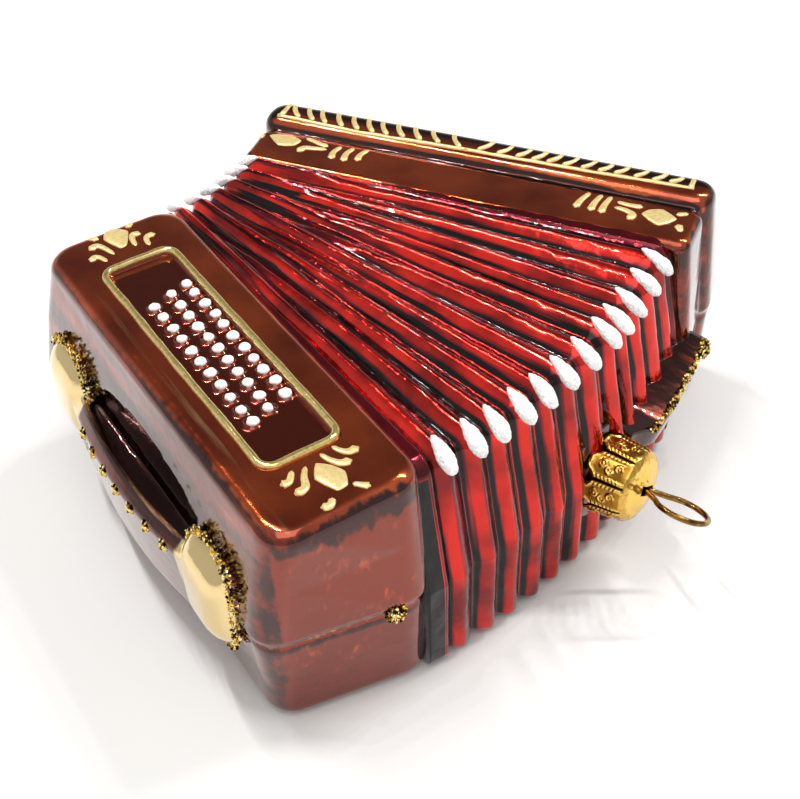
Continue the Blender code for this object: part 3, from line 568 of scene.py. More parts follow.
def rounded_outline(corners: Spots, radius: float, steps: int) -> list[Pair]:
    """The points of a convex outline whose corners are arcs.

    Args:
        corners: The outline's corners, in order.
        radius: The corners' radius.
        steps: How many parts each arc has.

    Returns:
        The outline's points, in order.
    """
    points = []
    count = len(corners)
    for index, corner in enumerate(corners):
        here = Vector(corner)
        before = (Vector(corners[index - 1]) - here).normalized()
        after = (Vector(corners[(index + 1) % count]) - here).normalized()
        half = before.angle(after) / 2
        reach = radius / tan(half)
        centre = here + (before + after).normalized() * (radius / sin(half))
        start = (here + before * reach) - centre
        end = (here + after * reach) - centre
        turn = copysign(start.angle(end), start.cross(end))
        for step in range(steps + 1):
            point = centre + Matrix.Rotation(turn * step / steps, 2) @ start
            points.append((point.x, point.y))
    return points


def grown(corners: Spots, amount: float) -> list[Pair]:
    """Moves every side of a convex outline outwards by the amount."""
    middle = sum((Vector(corner) for corner in corners), Vector((0, 0))) / len(corners)
    lines = []
    for index, corner in enumerate(corners):
        here, after = Vector(corner), Vector(corners[(index + 1) % len(corners)])
        normal = Vector((after.y - here.y, here.x - after.x)).normalized()
        if normal.dot(here - middle) < 0:
            normal.negate()
        lines.append((here + normal * amount, (after - here).normalized()))
    found = []
    for index, (point, way) in enumerate(lines):
        earlier, its_way = lines[index - 1]
        share = (point - earlier).cross(way) / its_way.cross(way)
        found.append(tuple(earlier + its_way * share))
    return found


@dataclass
class GlassForm:
    """A drafted, rounded casing form: its outlines in millimetres at three levels."""

    bottom: Spots
    seam: Spots
    top: Spots
    crown: float
    fillet: float
    corner: float
    stepped: bool

    def rings(self) -> list[list[Point]]:
        """The form's outlines from its back up to its front, in metres."""
        foot, seam = 2.4, FAN.seam
        levels = []
        for step in range(7):
            share = step / 6
            levels.append((self.bottom, -foot * 0.8 * (1 - sin(share * pi / 2)), share * foot))
        levels.append((self.seam, -0.35 if self.stepped else 0.0, seam - 0.9))
        if self.stepped:
            levels.append((self.seam, -0.75, seam))
        levels.append((self.seam, 0.1, seam + 1.3))
        middle = [
            tuple(a + (b - a) * 0.45 for a, b in zip(one, other)) for one, other in zip(self.seam, self.top)
        ]
        levels.append((middle, 0.0, seam + (self.crown - seam) * 0.5))
        for step in range(9):
            angle = step / 8 * pi / 2
            inset = self.fillet * (1 - cos(angle))
            levels.append((self.top, -inset, self.crown - self.fillet * (1 - sin(angle))))
        rings = []
        for corners, inset, level in levels:
            sides = grown(corners, inset)
            shortest = min(dist(one, sides[index - 1]) for index, one in enumerate(sides))
            radius = min(max(self.corner + inset * 0.5, 0.8), 0.45 * shortest)
            outline = rounded_outline(sides, radius, 9)
            rings.append([mm(x, y, level) for x, y in outline])
        return rings

    def solid(self, name: str) -> Piece:
        """The form as a closed piece in the casing's own directions."""
        return Bench.lofted(name, self.rings())


class Casing:
    """What the two casings share: their own directions, and how they are painted."""

    place: Matrix
    voxel: float = 0.45 * MM

    def local(self, point: Vector) -> Point:
        """A place's distances along and out of the casing and its level, in millimetres."""
        return tuple(value / MM for value in self.place.inverted() @ point)

    @staticmethod
    def ends_paint(along: float, near: Pair, far: Pair) -> float:
        """The dark paint at both ends of the front, from where it starts to where it is full."""
        return max(smooth_step(*near, along), smooth_step(*far, along)) * 0.9

    @staticmethod
    def seam_shade(up: float) -> float:
        """Painted shade under the step of the mould seam."""
        return smooth_step(1.3, 0.4, abs(up - FAN.seam + 1.4)) * 0.7

    @staticmethod
    def seam_highlight(up: float) -> float:
        """A painted highlight on the mould seam."""
        return smooth_step(0.9, 0.3, abs(up - FAN.seam)) * 0.4

    def plate_gold(self, point: Vector) -> float:
        """1 on gold-lacquered faces, 0 elsewhere."""
        return 0.0

    def dress(self, glass: Piece, lacquer: Finish) -> None:
        """Melts the joined forms into one glass, seats it and paints it."""
        Bench.soften(glass, self.voxel, 3)
        Bench.place(glass, self.place)
        for name in ("edge_paint_and_shade", "panel_wash_and_slat_shade", "painted_highlight", "plate_gold"):
            Bench.mark(glass, name, getattr(self, name))
        Bench.finish(glass, lacquer, "glass", "lacquered_glass", ["glass_shell"])


@dataclass
class ButtonCasing(Casing):
    """The casing with the button panel and the hand strap, in one glass."""

    inner: float = -1.2
    panel_along: Pair = (51.3, 114.4)
    panel_out: Pair = (5.2, 20.8)
    panel_depth: float = 0.9
    columns: tuple[Pair, ...] = ((8.3, 63.4), (12.2, 64.9), (16.2, 66.3))
    rows: int = 11
    pitch: float = 3.62
    button_radius: float = 1.15
    fillet: float = 2.6
    strap_along: Pair = (56.0, 109.0)
    strap_rim: float = 29.6
    strap_lower: float = 12.0
    strap_thickness: float = 2.8
    plates: tuple[Colour, ...] = (
        (53.8, 25.4, 8.6, 11.4),
        (110.2, 23.6, 8.0, 11.4),
    )
    plate_reach: Pair = (33.4, 34.4)
    place: Matrix = field(default_factory=lambda: FAN.casing(Side.BUTTON))

    def casing(self) -> GlassForm:
        """The casing's own form."""
        return GlassForm(
            [(36.4, self.inner), (129.9, self.inner), (124.6, 28.4), (36.6, 28.6)],
            [(35.0, self.inner), (131.6, self.inner), (125.4, 30.0), (34.8, 30.6)],
            [(38.8, self.inner), (128.5, self.inner), (128.4, 27.4), (38.8, 26.8)],
            FAN.height,
            self.fillet,
            5.5,
            True,
        )

    def surface(self, along: float, out: float) -> float:
        """The level of the casing's front at a place on it, in millimetres."""
        return rounded_level(FAN.height, self.fillet, max(41.4 - along, along - 125.8, out - 23.6, 0.0))

    def strap_centre(self, along: float) -> float:
        """How far out the middle of the strap lies at a place along the casing."""
        share = (along - 82.5) / (self.strap_along[1] - self.strap_along[0]) * 2
        return 30.8 + (35.2 - 30.8 - self.strap_thickness / 2) * (1 - share * share)

    def strap(self) -> Piece:
        """The bowed hand strap, which slopes back to the casing below."""
        rings = []
        for step in range(33):
            along = self.strap_along[0] + (self.strap_along[1] - self.strap_along[0]) * step / 32
            outer = self.strap_centre(along) + self.strap_thickness / 2
            corners = [
                (26.0, self.strap_lower - 1.6),
                (outer - 1.2, self.strap_lower),
                (outer, self.strap_rim - 2.6),
                (outer - 1.9, self.strap_rim),
                (26.0, self.strap_rim),
            ]
            outline = rounded_outline(corners, 0.8, 4)
            rings.append([mm(along, out, up) for out, up in outline])
        return Bench.lofted("strap_form", rings)

    def plate(self, index: int) -> Piece:
        """One of the pillow-shaped plates that end the strap."""
        along, up, wide, tall = self.plates[index]
        rings = []
        for step in range(13):
            angle = step / 12 * pi / 2 * 0.97
            share = cos(angle) ** 0.55
            out = 24.0 + (self.plate_reach[index] - 24.0) * sin(angle)
            w, t = wide * share, tall * share
            corners = [(along - w, up - t), (along + w, up - t), (along + w, up + t), (along - w, up + t)]
            outline = rounded_outline(corners, min(w, t) * 0.62, 6)
            rings.append([mm(x, out, z) for x, z in outline])
        return Bench.lofted(f"plate_form_{index}", rings)

    def hollow(self) -> Piece:
        """The lens-shaped hollow behind the strap, as a cutter."""
        rings = []
        first, last = 62.5, 104.5
        for step in range(25):
            share = step / 24 * 2 - 1
            along = (first + last) / 2 + share * (last - first) / 2
            bow = sqrt(max(1 - share * share, 0.02))
            back = 28.9 - 1.5 * bow
            front = self.strap_centre(along) - self.strap_thickness / 2
            floor = self.strap_rim - (0.8 + 4.4 * bow)
            outline = [
                (back, floor),
                (front, floor),
                (front + 0.2, self.strap_rim + 0.8),
                (34.5, self.strap_rim + 1.6 + 7.0 * bow),
                (back + 0.2, self.strap_rim + 1.2 + 6.4 * bow),
            ]
            rings.append([mm(along, out, up) for out, up in outline])
        return Bench.lofted("hollow_cut", rings)

    def recess(self) -> Piece:
        """The shallow well of the panel, as a cutter."""
        inset = 1.1
        low, high = self.panel_along[0] + inset, self.panel_along[1] - inset
        near, far = self.panel_out[0] + inset, self.panel_out[1] - inset
        outline = rounded_outline([(low, near), (high, near), (high, far), (low, far)], 1.8, 6)
        top = FAN.height
        levels = (top - self.panel_depth, top + 2)
        return Bench.lofted("recess_cut", [[mm(x, y, z) for x, y in outline] for z in levels])

    def button_places(self) -> list[Pair]:
        """The middle of every button, along the casing and outwards, in millimetres."""
        return [(first + row * self.pitch, out) for out, first in self.columns for row in range(self.rows)]

    def buttons(self) -> Piece:
        """The moulded bumps of the buttons."""
        bumps = []
        floor = FAN.height - self.panel_depth
        for along, out in self.button_places():
            Bench.clear_selection()
            bpy.ops.mesh.primitive_uv_sphere_add(
                segments=16, ring_count=8, radius=self.button_radius * MM, location=(0, 0, 0)
            )
            bump = Bench.take("button_form")
            bump.data.transform(Matrix.Translation(mm(along, out, floor)))
            bumps.append(bump)
        return Bench.joined("buttons_form", bumps)

    def edge_paint_and_shade(self, point: Vector) -> float:
        """How much dark paint the brush left at a place on the casing, with painted shade under the seam, on
        the lower end faces and in the hollow behind the strap.
        """
        along, out, up = self.local(point)
        ragged = 1.6 * wobble((along, out, 0), 1.6, 3.0) + 1.2 * wobble((along, out, up), 5.0, 9.0)
        outer = smooth_step(24.6, 26.6, out + 0.35 * ragged) * 0.62
        inner = smooth_step(1.4, 0.0, out + 0.3 * ragged) * 0.45
        ends = self.ends_paint(along + 0.4 * ragged, (126.2, 128.6), (40.6, 38.4))
        on_top = smooth_step(44.6, 47.0, up)
        outward = smooth_step(25.4, 27.0, out)
        below = FAN.height - up + ragged
        reach = smooth_step(7.4, 4.0, below) * (0.84 - 0.3 * outward)
        corner = hypot(max(29.6 - out, 0) * 0.8, max(126.8 - along, 0))
        stroke = smooth_step(4.2, 1.8, corner + 0.5 * ragged) * smooth_step(FAN.seam - 1, FAN.seam + 3, up)
        wash = outward * smooth_step(5.4, 7.0, below) * 0.6
        # Painted shade: the faces other than the outer side grow darker below the seam, towards the floor
        wash += 0.3 * smooth_step(FAN.seam, FAN.seam - 6, up) * (1 - outward)
        recess = self.recess_paint_and_shade(along, out, up, ragged)
        side = max(reach, stroke * 0.8, self.seam_shade(up), wash, recess)
        return max(outer, inner, ends) * on_top + side * (1 - on_top)

    def recess_paint_and_shade(self, along: float, out: float, up: float, ragged: float) -> float:
        """The dark paint in the hollow behind the strap, with its ragged upper edge, which also stands in for
        the hollow's shade.
        """
        across = (along - 83.5) / 22.5
        if abs(across) >= 1 or up < self.strap_rim - 6 or out > self.strap_centre(along) + 0.2:
            return 0.0
        bow = sqrt(1 - across * across)
        edge = self.strap_rim + 2.6 + 8.4 * bow
        return smooth_step(edge + 0.6, edge - 0.4, up + 0.7 * ragged) * 1.1

    def panel_wash_and_slat_shade(self, point: Vector) -> float:
        """The brown wash on the panel's floor, and on the glass behind the strap."""
        along, out, up = self.local(point)
        low, high = self.panel_along
        near, far = self.panel_out
        inside = min(along - low, high - along, out - near, far - out)
        panel = smooth_step(0.2, 1.0, inside) * smooth_step(44.0, 46.0, up)
        sides = smooth_step(47.6, 46.6, up) * (0.85 + 0.2 * wobble((along, out, up), 7.0, 21.0))
        return max(panel, sides)

    def painted_highlight(self, point: Vector) -> float:
        """Painted highlights on the top's outer edge, the strap's rim and the mould seam, lightened to
        copper.
        """
        _, out, up = self.local(point)
        top = FAN.height
        edge = smooth_step(1.2, 0.5, abs(out - 23.2)) * smooth_step(top - 1.2, top - 0.5, up) * 0.45
        rim = smooth_step(1.0, 0.3, abs(up - self.strap_rim)) * smooth_step(29.0, 30.0, out) * 0.5
        return max(edge, rim, self.seam_highlight(up))

    @staticmethod
    def side_out(up: float) -> float:
        """How far out the casing's outer side lies at a level."""
        return 30.2 - 2.2 * smooth_step(26.0, 47.0, up)

    def plate_gold(self, point: Vector) -> float:
        """1 on the gold-lacquered faces of the plates, 0 elsewhere."""
        along, out, up = self.local(point)
        found = 0.0
        for middle, level, wide, tall in self.plates:
            across = abs(along - middle) / (wide * 0.99)
            down = abs(up - level) / (tall * 0.99)
            inside = 1 - (across**3.0 + down**3.0) ** (1 / 3.0)
            found = max(found, smooth_step(-0.02, 0.02, inside))
        return found * smooth_step(-0.1, 0.3, out - self.side_out(up))

    def build(self) -> None:
        """Makes the casing and dresses it."""
        glass = self.casing().solid("button_casing_glass")
        for form in (self.strap(), self.plate(0), self.plate(1)):
            Bench.combine(glass, form, "UNION")
        Bench.combine(glass, self.hollow(), "DIFFERENCE")
        Bench.combine(glass, self.recess(), "DIFFERENCE")
        glass = Bench.joined("button_casing_glass", [glass, self.buttons()])
        self.dress(glass, BUTTON_LACQUER)


@dataclass
class GrilleCasing(Casing):
    """The casing with the gold grille: a low inner band and a higher outer ridge."""

    inner: float = -1.2
    band_height: float = 46.95
    band_fillet: float = 2.0
    ridge_height: float = 48.6
    ridge_fillet: float = 2.6
    ridge_along: Pair = (35.1, 130.4)
    ridge_inner: Pair = (10.8, 11.6)
    ridge_outer: Pair = (19.9, 20.5)
    place: Matrix = field(default_factory=lambda: FAN.casing(Side.GRILLE))

    def band(self) -> GlassForm:
        """The lower inner band."""
        return GlassForm(
            [(37.0, self.inner), (129.8, self.inner), (129.0, 12.4), (36.6, 12.4)],
            [(35.8, self.inner), (131.4, self.inner), (130.6, 12.4), (35.6, 12.4)],
            [(36.6, self.inner), (129.4, self.inner), (129.6, 11.8), (36.2, 11.4)],
            self.band_height,
            self.band_fillet,
            2.4,
            False,
        )

    def ridge(self) -> GlassForm:
        """The higher outer ridge."""
        return GlassForm(
            [(34.6, 10.2), (131.4, 10.8), (130.6, 22.0), (34.6, 21.4)],
            [(33.8, 9.8), (132.6, 10.6), (131.8, 23.2), (33.6, 22.6)],
            [
                (self.ridge_along[0], self.ridge_inner[0]),
                (self.ridge_along[1], self.ridge_inner[1]),
                (self.ridge_along[1], self.ridge_outer[1]),
                (self.ridge_along[0], self.ridge_outer[0]),
            ],
            self.ridge_height,
            self.ridge_fillet,
            3.8,
            True,
        )

    def band_surface(self, along: float, out: float) -> float:
        """The level of the band's front at a place on it, in millimetres."""
        beyond = max(38.4 - along, along - 127.4, 0.8 - out, out - 9.5, 0.0)
        return rounded_level(self.band_height, self.band_fillet, beyond)

    def ridge_surface(self, along: float, out: float) -> float:
        """The level of the ridge's surface at a place on it, in millimetres."""
        share = (along - self.ridge_along[0]) / (self.ridge_along[1] - self.ridge_along[0])
        sides = (self.ridge_inner, self.ridge_outer)
        inner, outer = (first + (last - first) * share for first, last in sides)
        beyond = max(out - outer, inner - out, -self.ridge_fillet) + self.ridge_fillet
        return rounded_level(self.ridge_height, self.ridge_fillet, beyond)

    def edge_paint_and_shade(self, point: Vector) -> float:
        """How much dark paint the brush left at a place on the casing, with painted shade in the groove, on
        the slatted shoulder and under the seam.
        """
        along, out, up = self.local(point)
        ragged = 1.4 * wobble((along, out, 0), 1.6, 13.0) + 1.0 * wobble((along, out, up), 5.0, 19.0)
        # Painted shade in the groove between the band and the ridge
        groove = smooth_step(1.7, 0.6, abs(out - 11.0) + 0.25 * ragged)
        groove *= smooth_step(self.band_height + 1.2, self.band_height + 0.2, up)
        # Painted shade on the ridge's shoulder, between the slats
        shoulder = smooth_step(15.2, 17.0, out + 0.25 * ragged) * 0.75
        inner = smooth_step(1.2, 0.0, out + 0.3 * ragged) * 0.4
        ends = self.ends_paint(along + 0.4 * ragged, (127.6, 129.6), (39.2, 37.4))
        on_top = smooth_step(43.6, 45.6, up)
        side = smooth_step(9.0, 5.4, self.ridge_height - up + ragged) * 0.9
        wash = 0.55 + 0.2 * wobble((along * 0.3, out, up * 0.2), 2.0, 23.0)
        below = max(side, self.seam_shade(up), wash)
        return max(groove, shoulder, inner, ends) * on_top + below * (1 - on_top)

    def panel_wash_and_slat_shade(self, point: Vector) -> float:
        """Painted shade between the slats of the grille, and the darker paint on the sides below the band."""
        along, out, up = self.local(point)
        inside = smooth_step(36.0, 38.0, along) * smooth_step(128.0, 126.0, along)
        between = inside * smooth_step(14.6, 15.6, out) * smooth_step(20.6, 19.6, out) * 0.8
        return max(between * smooth_step(40.0, 42.0, up), smooth_step(46.4, 45.0, up) * 0.9)

    def painted_highlight(self, point: Vector) -> float:
        """Painted highlights along the band's edge, the ridge's brow and the mould seam."""
        _, out, up = self.local(point)
        band, ridge = up - self.band_height, up - self.ridge_height
        edge = smooth_step(0.9, 0.3, abs(out - 9.6)) * smooth_step(-0.7, -0.2, band)
        brow = smooth_step(0.8, 0.2, abs(out - 12.6)) * smooth_step(-1.6, -0.8, ridge)
        return max(edge * 0.35, brow * 0.4, self.seam_highlight(up))

    def build(self) -> None:
        """Makes the casing and dresses it."""
        glass = self.ridge().solid("grille_casing_glass")
        Bench.combine(glass, self.band().solid("band_form"), "UNION")
        self.dress(glass, GRILLE_LACQUER)


@dataclass
class Bellows:
    """The pleated fan: twelve folds at the cap's side that merge into six opposite."""

    near_crests: tuple[float, ...] = (-14.6, -11.8, -9.5, -6.8, -4.4, -1.7, 1.2, 4.3, 6.3, 8.7, 11.8, 14.8)
    far_crests: tuple[float, ...] = (-14.4, -8.0, -1.2, 4.5, 10.8, 16.4)
    near_pitch: float = 2.69
    depth: float = 2.0
    merge: Pair = (52.0, 88.0)
    top: float = 47.2
    floor: float = 0.4
    far: float = 37.0
    near_top: float = 126.6
    near_seam: float = 130.6
    near_floor: float = 130.2
    steps_per_fold: int = 16

    def profile(self) -> list[tuple[float, float, Pair]]:
        """One section's outline: radius and level in millimetres, and the way out."""
        edge, foot, seam = 4.2, 2.4, FAN.seam
        corners = (
            ((self.near_floor - foot, self.floor + foot), foot, -90, 0, 5),
            ((self.near_seam - foot, seam), foot, -4, 8, 4),
            ((self.near_top - edge, self.top - edge), edge, 8, 90, 10),
            ((self.far + edge, self.top - edge), edge, 90, 180, 8),
            ((self.far + foot, self.floor + foot), foot, 180, 270, 5),
        )
        arcs = []
        for centre, radius, first, last, steps in corners:
            for step in range(steps + 1):
                angle = radians(first + (last - first) * step / steps)
                way = (cos(angle), sin(angle))
                arcs.append((centre[0] + radius * way[0], centre[1] + radius * way[1], way))
        points = []
        for index, (radius, level, way) in enumerate(arcs):
            next_radius, next_level, next_way = arcs[(index + 1) % len(arcs)]
            parts = int(hypot(next_radius - radius, next_level - level) / 1.7) + 1
            for part in range(parts):
                share = part / parts
                mixed = Vector(way).lerp(Vector(next_way), share).normalized()
                points.append(
                    (
                        radius + (next_radius - radius) * share,
                        level + (next_level - level) * share,
                        (mixed.x, mixed.y),
                    )
                )
        return points

    @staticmethod
    def across(angle: float, crests: Sequence[float]) -> float:
        """The place across a fold, from 0 in one valley over the crest to 1 in the next.

        Args:
            angle: The angle in the fan, in degrees.
            crests: The angles of the crests, in degrees.

        Returns:
            The place, or 0.62 in the smooth strip beyond the last fold.
        """
        half = (crests[1] - crests[0]) / 2
        valleys = [crests[0] - half, *((a + b) / 2 for a, b in zip(crests, crests[1:])), crests[-1] + half]
        for start, crest, end in zip(valleys, crests, valleys[1:]):
            if start <= angle <= crest:
                return (angle - start) / (crest - start) / 2
            if crest < angle <= end:
                return 0.5 + (angle - crest) / (end - crest) / 2
        return 0.62

    def dip(self, angle: float, radius: float) -> float:
        """How far the surface lies below the crests, in millimetres."""
        low, high = self.merge
        share = min(max((radius - low) / (high - low), 0), 1)
        near = abs(self.across(degrees(angle), self.near_crests) * 2 - 1) ** 1.5
        far = abs(self.across(degrees(angle), self.far_crests) * 2 - 1) ** 1.5
        shallow = 0.75 + 0.25 * abs(2 * share - 1)
        return self.depth * shallow * (share * near + (1 - share) * far)

    def skin(self) -> Piece:
        """The fan as one fine skin."""
        end = FAN.half_angle + radians(0.45)
        count = (len(self.near_crests) + 1) * self.steps_per_fold
        angles = [-end + 2 * end * index / count for index in range(count + 1)]
        profile = self.profile()
        rings = []
        for angle in angles:
            ring = []
            for radius, level, way in profile:
                dip = self.dip(angle, radius)
                spot = (angle * 120, radius * 0.5, level * 0.5)
                dip += 0.12 * (1 + wobble(spot, 1.6, 5.0)) + 0.1 * (1 + wobble(spot, 5.0, 9.0))
                ring.append(FAN.point(angle, radius - dip * way[0], level - dip * way[1]))
            rings.append(ring)
        return Bench.lofted("bellows_glass", rings)

    def polar(self, point: Vector) -> Point:
        """A place's angle, radius in millimetres and level in millimetres."""
        x, y = point.x - FAN.centre[0], point.y - FAN.centre[1]
        return atan2(y, x), hypot(x, y) / MM, point.z / MM

    def near_fold(self, point: Vector) -> float:
        """The place across the twelve folds."""
        angle, _, level = self.polar(point)
        if abs(degrees(angle)) > 16.3 and level < 44.0:
            return 0.0
        return self.across(degrees(angle), self.near_crests)

    def far_fold(self, point: Vector) -> float:
        """The place across the six folds."""
        angle, _, _ = self.polar(point)
        return self.across(degrees(angle), self.far_crests)

    def near_share(self, point: Vector) -> float:
        """1 where the twelve folds are painted and 0 where the six are."""
        _, radius, _ = self.polar(point)
        low, high = self.merge
        return smooth_step(low, high, radius + 8 * wobble(point, 6 * MM, 2.0))

    def build(self) -> None:
        """Makes the bellows and dresses them."""
        glass = self.skin()
        Bench.mark(glass, "flank_near", self.near_fold)
        Bench.mark(glass, "flank_far", self.far_fold)
        Bench.mark(glass, "near_share", self.near_share)
        layer = glass.data.attributes.new("sweep", "FLOAT_VECTOR", "POINT")
        flat = []
        for vertex in glass.data.vertices:
            angle, radius, level = self.polar(vertex.co)
            flat.extend((degrees(angle) / self.near_pitch * 1.3, radius * 0.035, level * 0.035))
        layer.data.foreach_set("vector", flat)
        Bench.finish(glass, BELLOWS_LACQUER, "glass", "lacquered_glass", ["glass_shell"])


@dataclass
class CapSeat:
    """The strap across the end of the bellows, and the pad and neck under the cap."""

    radius: float = 126.0
    angle: float = radians(1.87)
    level: float = 18.3
    tilt: float = radians(3.1)
    slot_roll: float = radians(-33.0)

    def place(self) -> Matrix:
        """The cap's axis along X and its slot along Y, at the neck's foot."""
        turn = Matrix.Rotation(self.angle, 4, "Z")
        foot = Vector((*FAN.centre, self.level * MM)) + turn @ Vector((self.radius * MM, 0, 0))
        lift = Matrix.Rotation(-self.tilt, 4, "Y")
        return Matrix.Translation(foot) @ turn @ lift @ Matrix.Rotation(self.slot_roll, 4, "X")

    def strap(self) -> Piece:
        """The closing strap from the grille casing to the cap."""
        rings = []
        for step in range(33):
            share = step / 32
            angle = radians(18.6 - 13.4 * share)
            reach = 134.8 - 0.6 * share - 3.6 * smooth_step(0.8, 1.0, share)
            upper = 24.6 - 1.2 * share
            outline = rounded_outline(
                [(126, 14.5), (reach - 1.5, 16.5), (reach, upper - 1.5), (126, upper + 1.6)], 1.0, 5
            )
            rings.append([FAN.point(angle, radius, level) for radius, level in outline])
        return Bench.lofted("bellows_strap_glass", rings)

    def neck(self) -> Piece:
        """The neck on its round pad."""
        pad = ((-1.5, 9.6), (2.0, 9.6), (2.45, 9.4), (2.6, 9.0), (2.6, 6.4))
        profile = (*pad, (2.8, 6.1), (3.2, 6.0), (9.8, 6.0), (11.2, 4.6))
        rings = []
        for along, radius in profile:
            turns = [tau * index / 64 for index in range(64)]
            rings.append([(along * MM, radius * MM * cos(t), radius * MM * sin(t)) for t in turns])
        return Bench.lofted("neck_glass", rings)

    @staticmethod
    def reach(point: Vector) -> float:
        """How far a place lies from the fan's centre, in millimetres."""
        return hypot(point.x - FAN.centre[0], point.y - FAN.centre[1]) / MM

    def build(self) -> None:
        """Makes the strap and the neck and dresses them."""
        strap, neck = self.strap(), self.neck()
        Bench.place(neck, self.place())
        paints = (
            (strap, lambda point: 0.72 + 0.4 * smooth_step(133.6, 131.0, self.reach(point))),
            (neck, lambda point: 0.8),
        )
        for piece, rule in paints:
            Bench.mark(piece, "edge_paint_and_shade", rule)
            for name in ("panel_wash_and_slat_shade", "painted_highlight", "plate_gold"):
                Bench.mark(piece, name, lambda point: 0.0)
            Bench.finish(piece, GRILLE_LACQUER, "glass", "lacquered_glass", ["glass_shell"])


def curved(points: Spots, parts: int, closed: bool) -> list[Vector]:
    """A smooth line through points.

    Args:
        points: The places that the line goes through.
        parts: How many steps it takes between two of them.
        closed: Whether it returns to its start.

    Returns:
        The line's points.
    """
    count = len(points)
    found = []
    for index in range(count if closed else count - 1):
        if closed:
            spots = [Vector(points[(index + shift) % count]) for shift in (-1, 0, 1, 2)]
        else:
            spots = [Vector(points[min(max(index + shift, 0), count - 1)]) for shift in (-1, 0, 1, 2)]
        before, start, end, after = spots
        for part in range(parts):
            t = part / parts
            found.append(
                0.5
                * (
                    2 * start
                    + (end - before) * t
                    + (2 * before - 5 * start + 4 * end - after) * t**2
                    + (3 * start - before - 3 * end + after) * t**3
                )
            )
    if not closed:
        found.append(Vector(points[-1]))
    return found


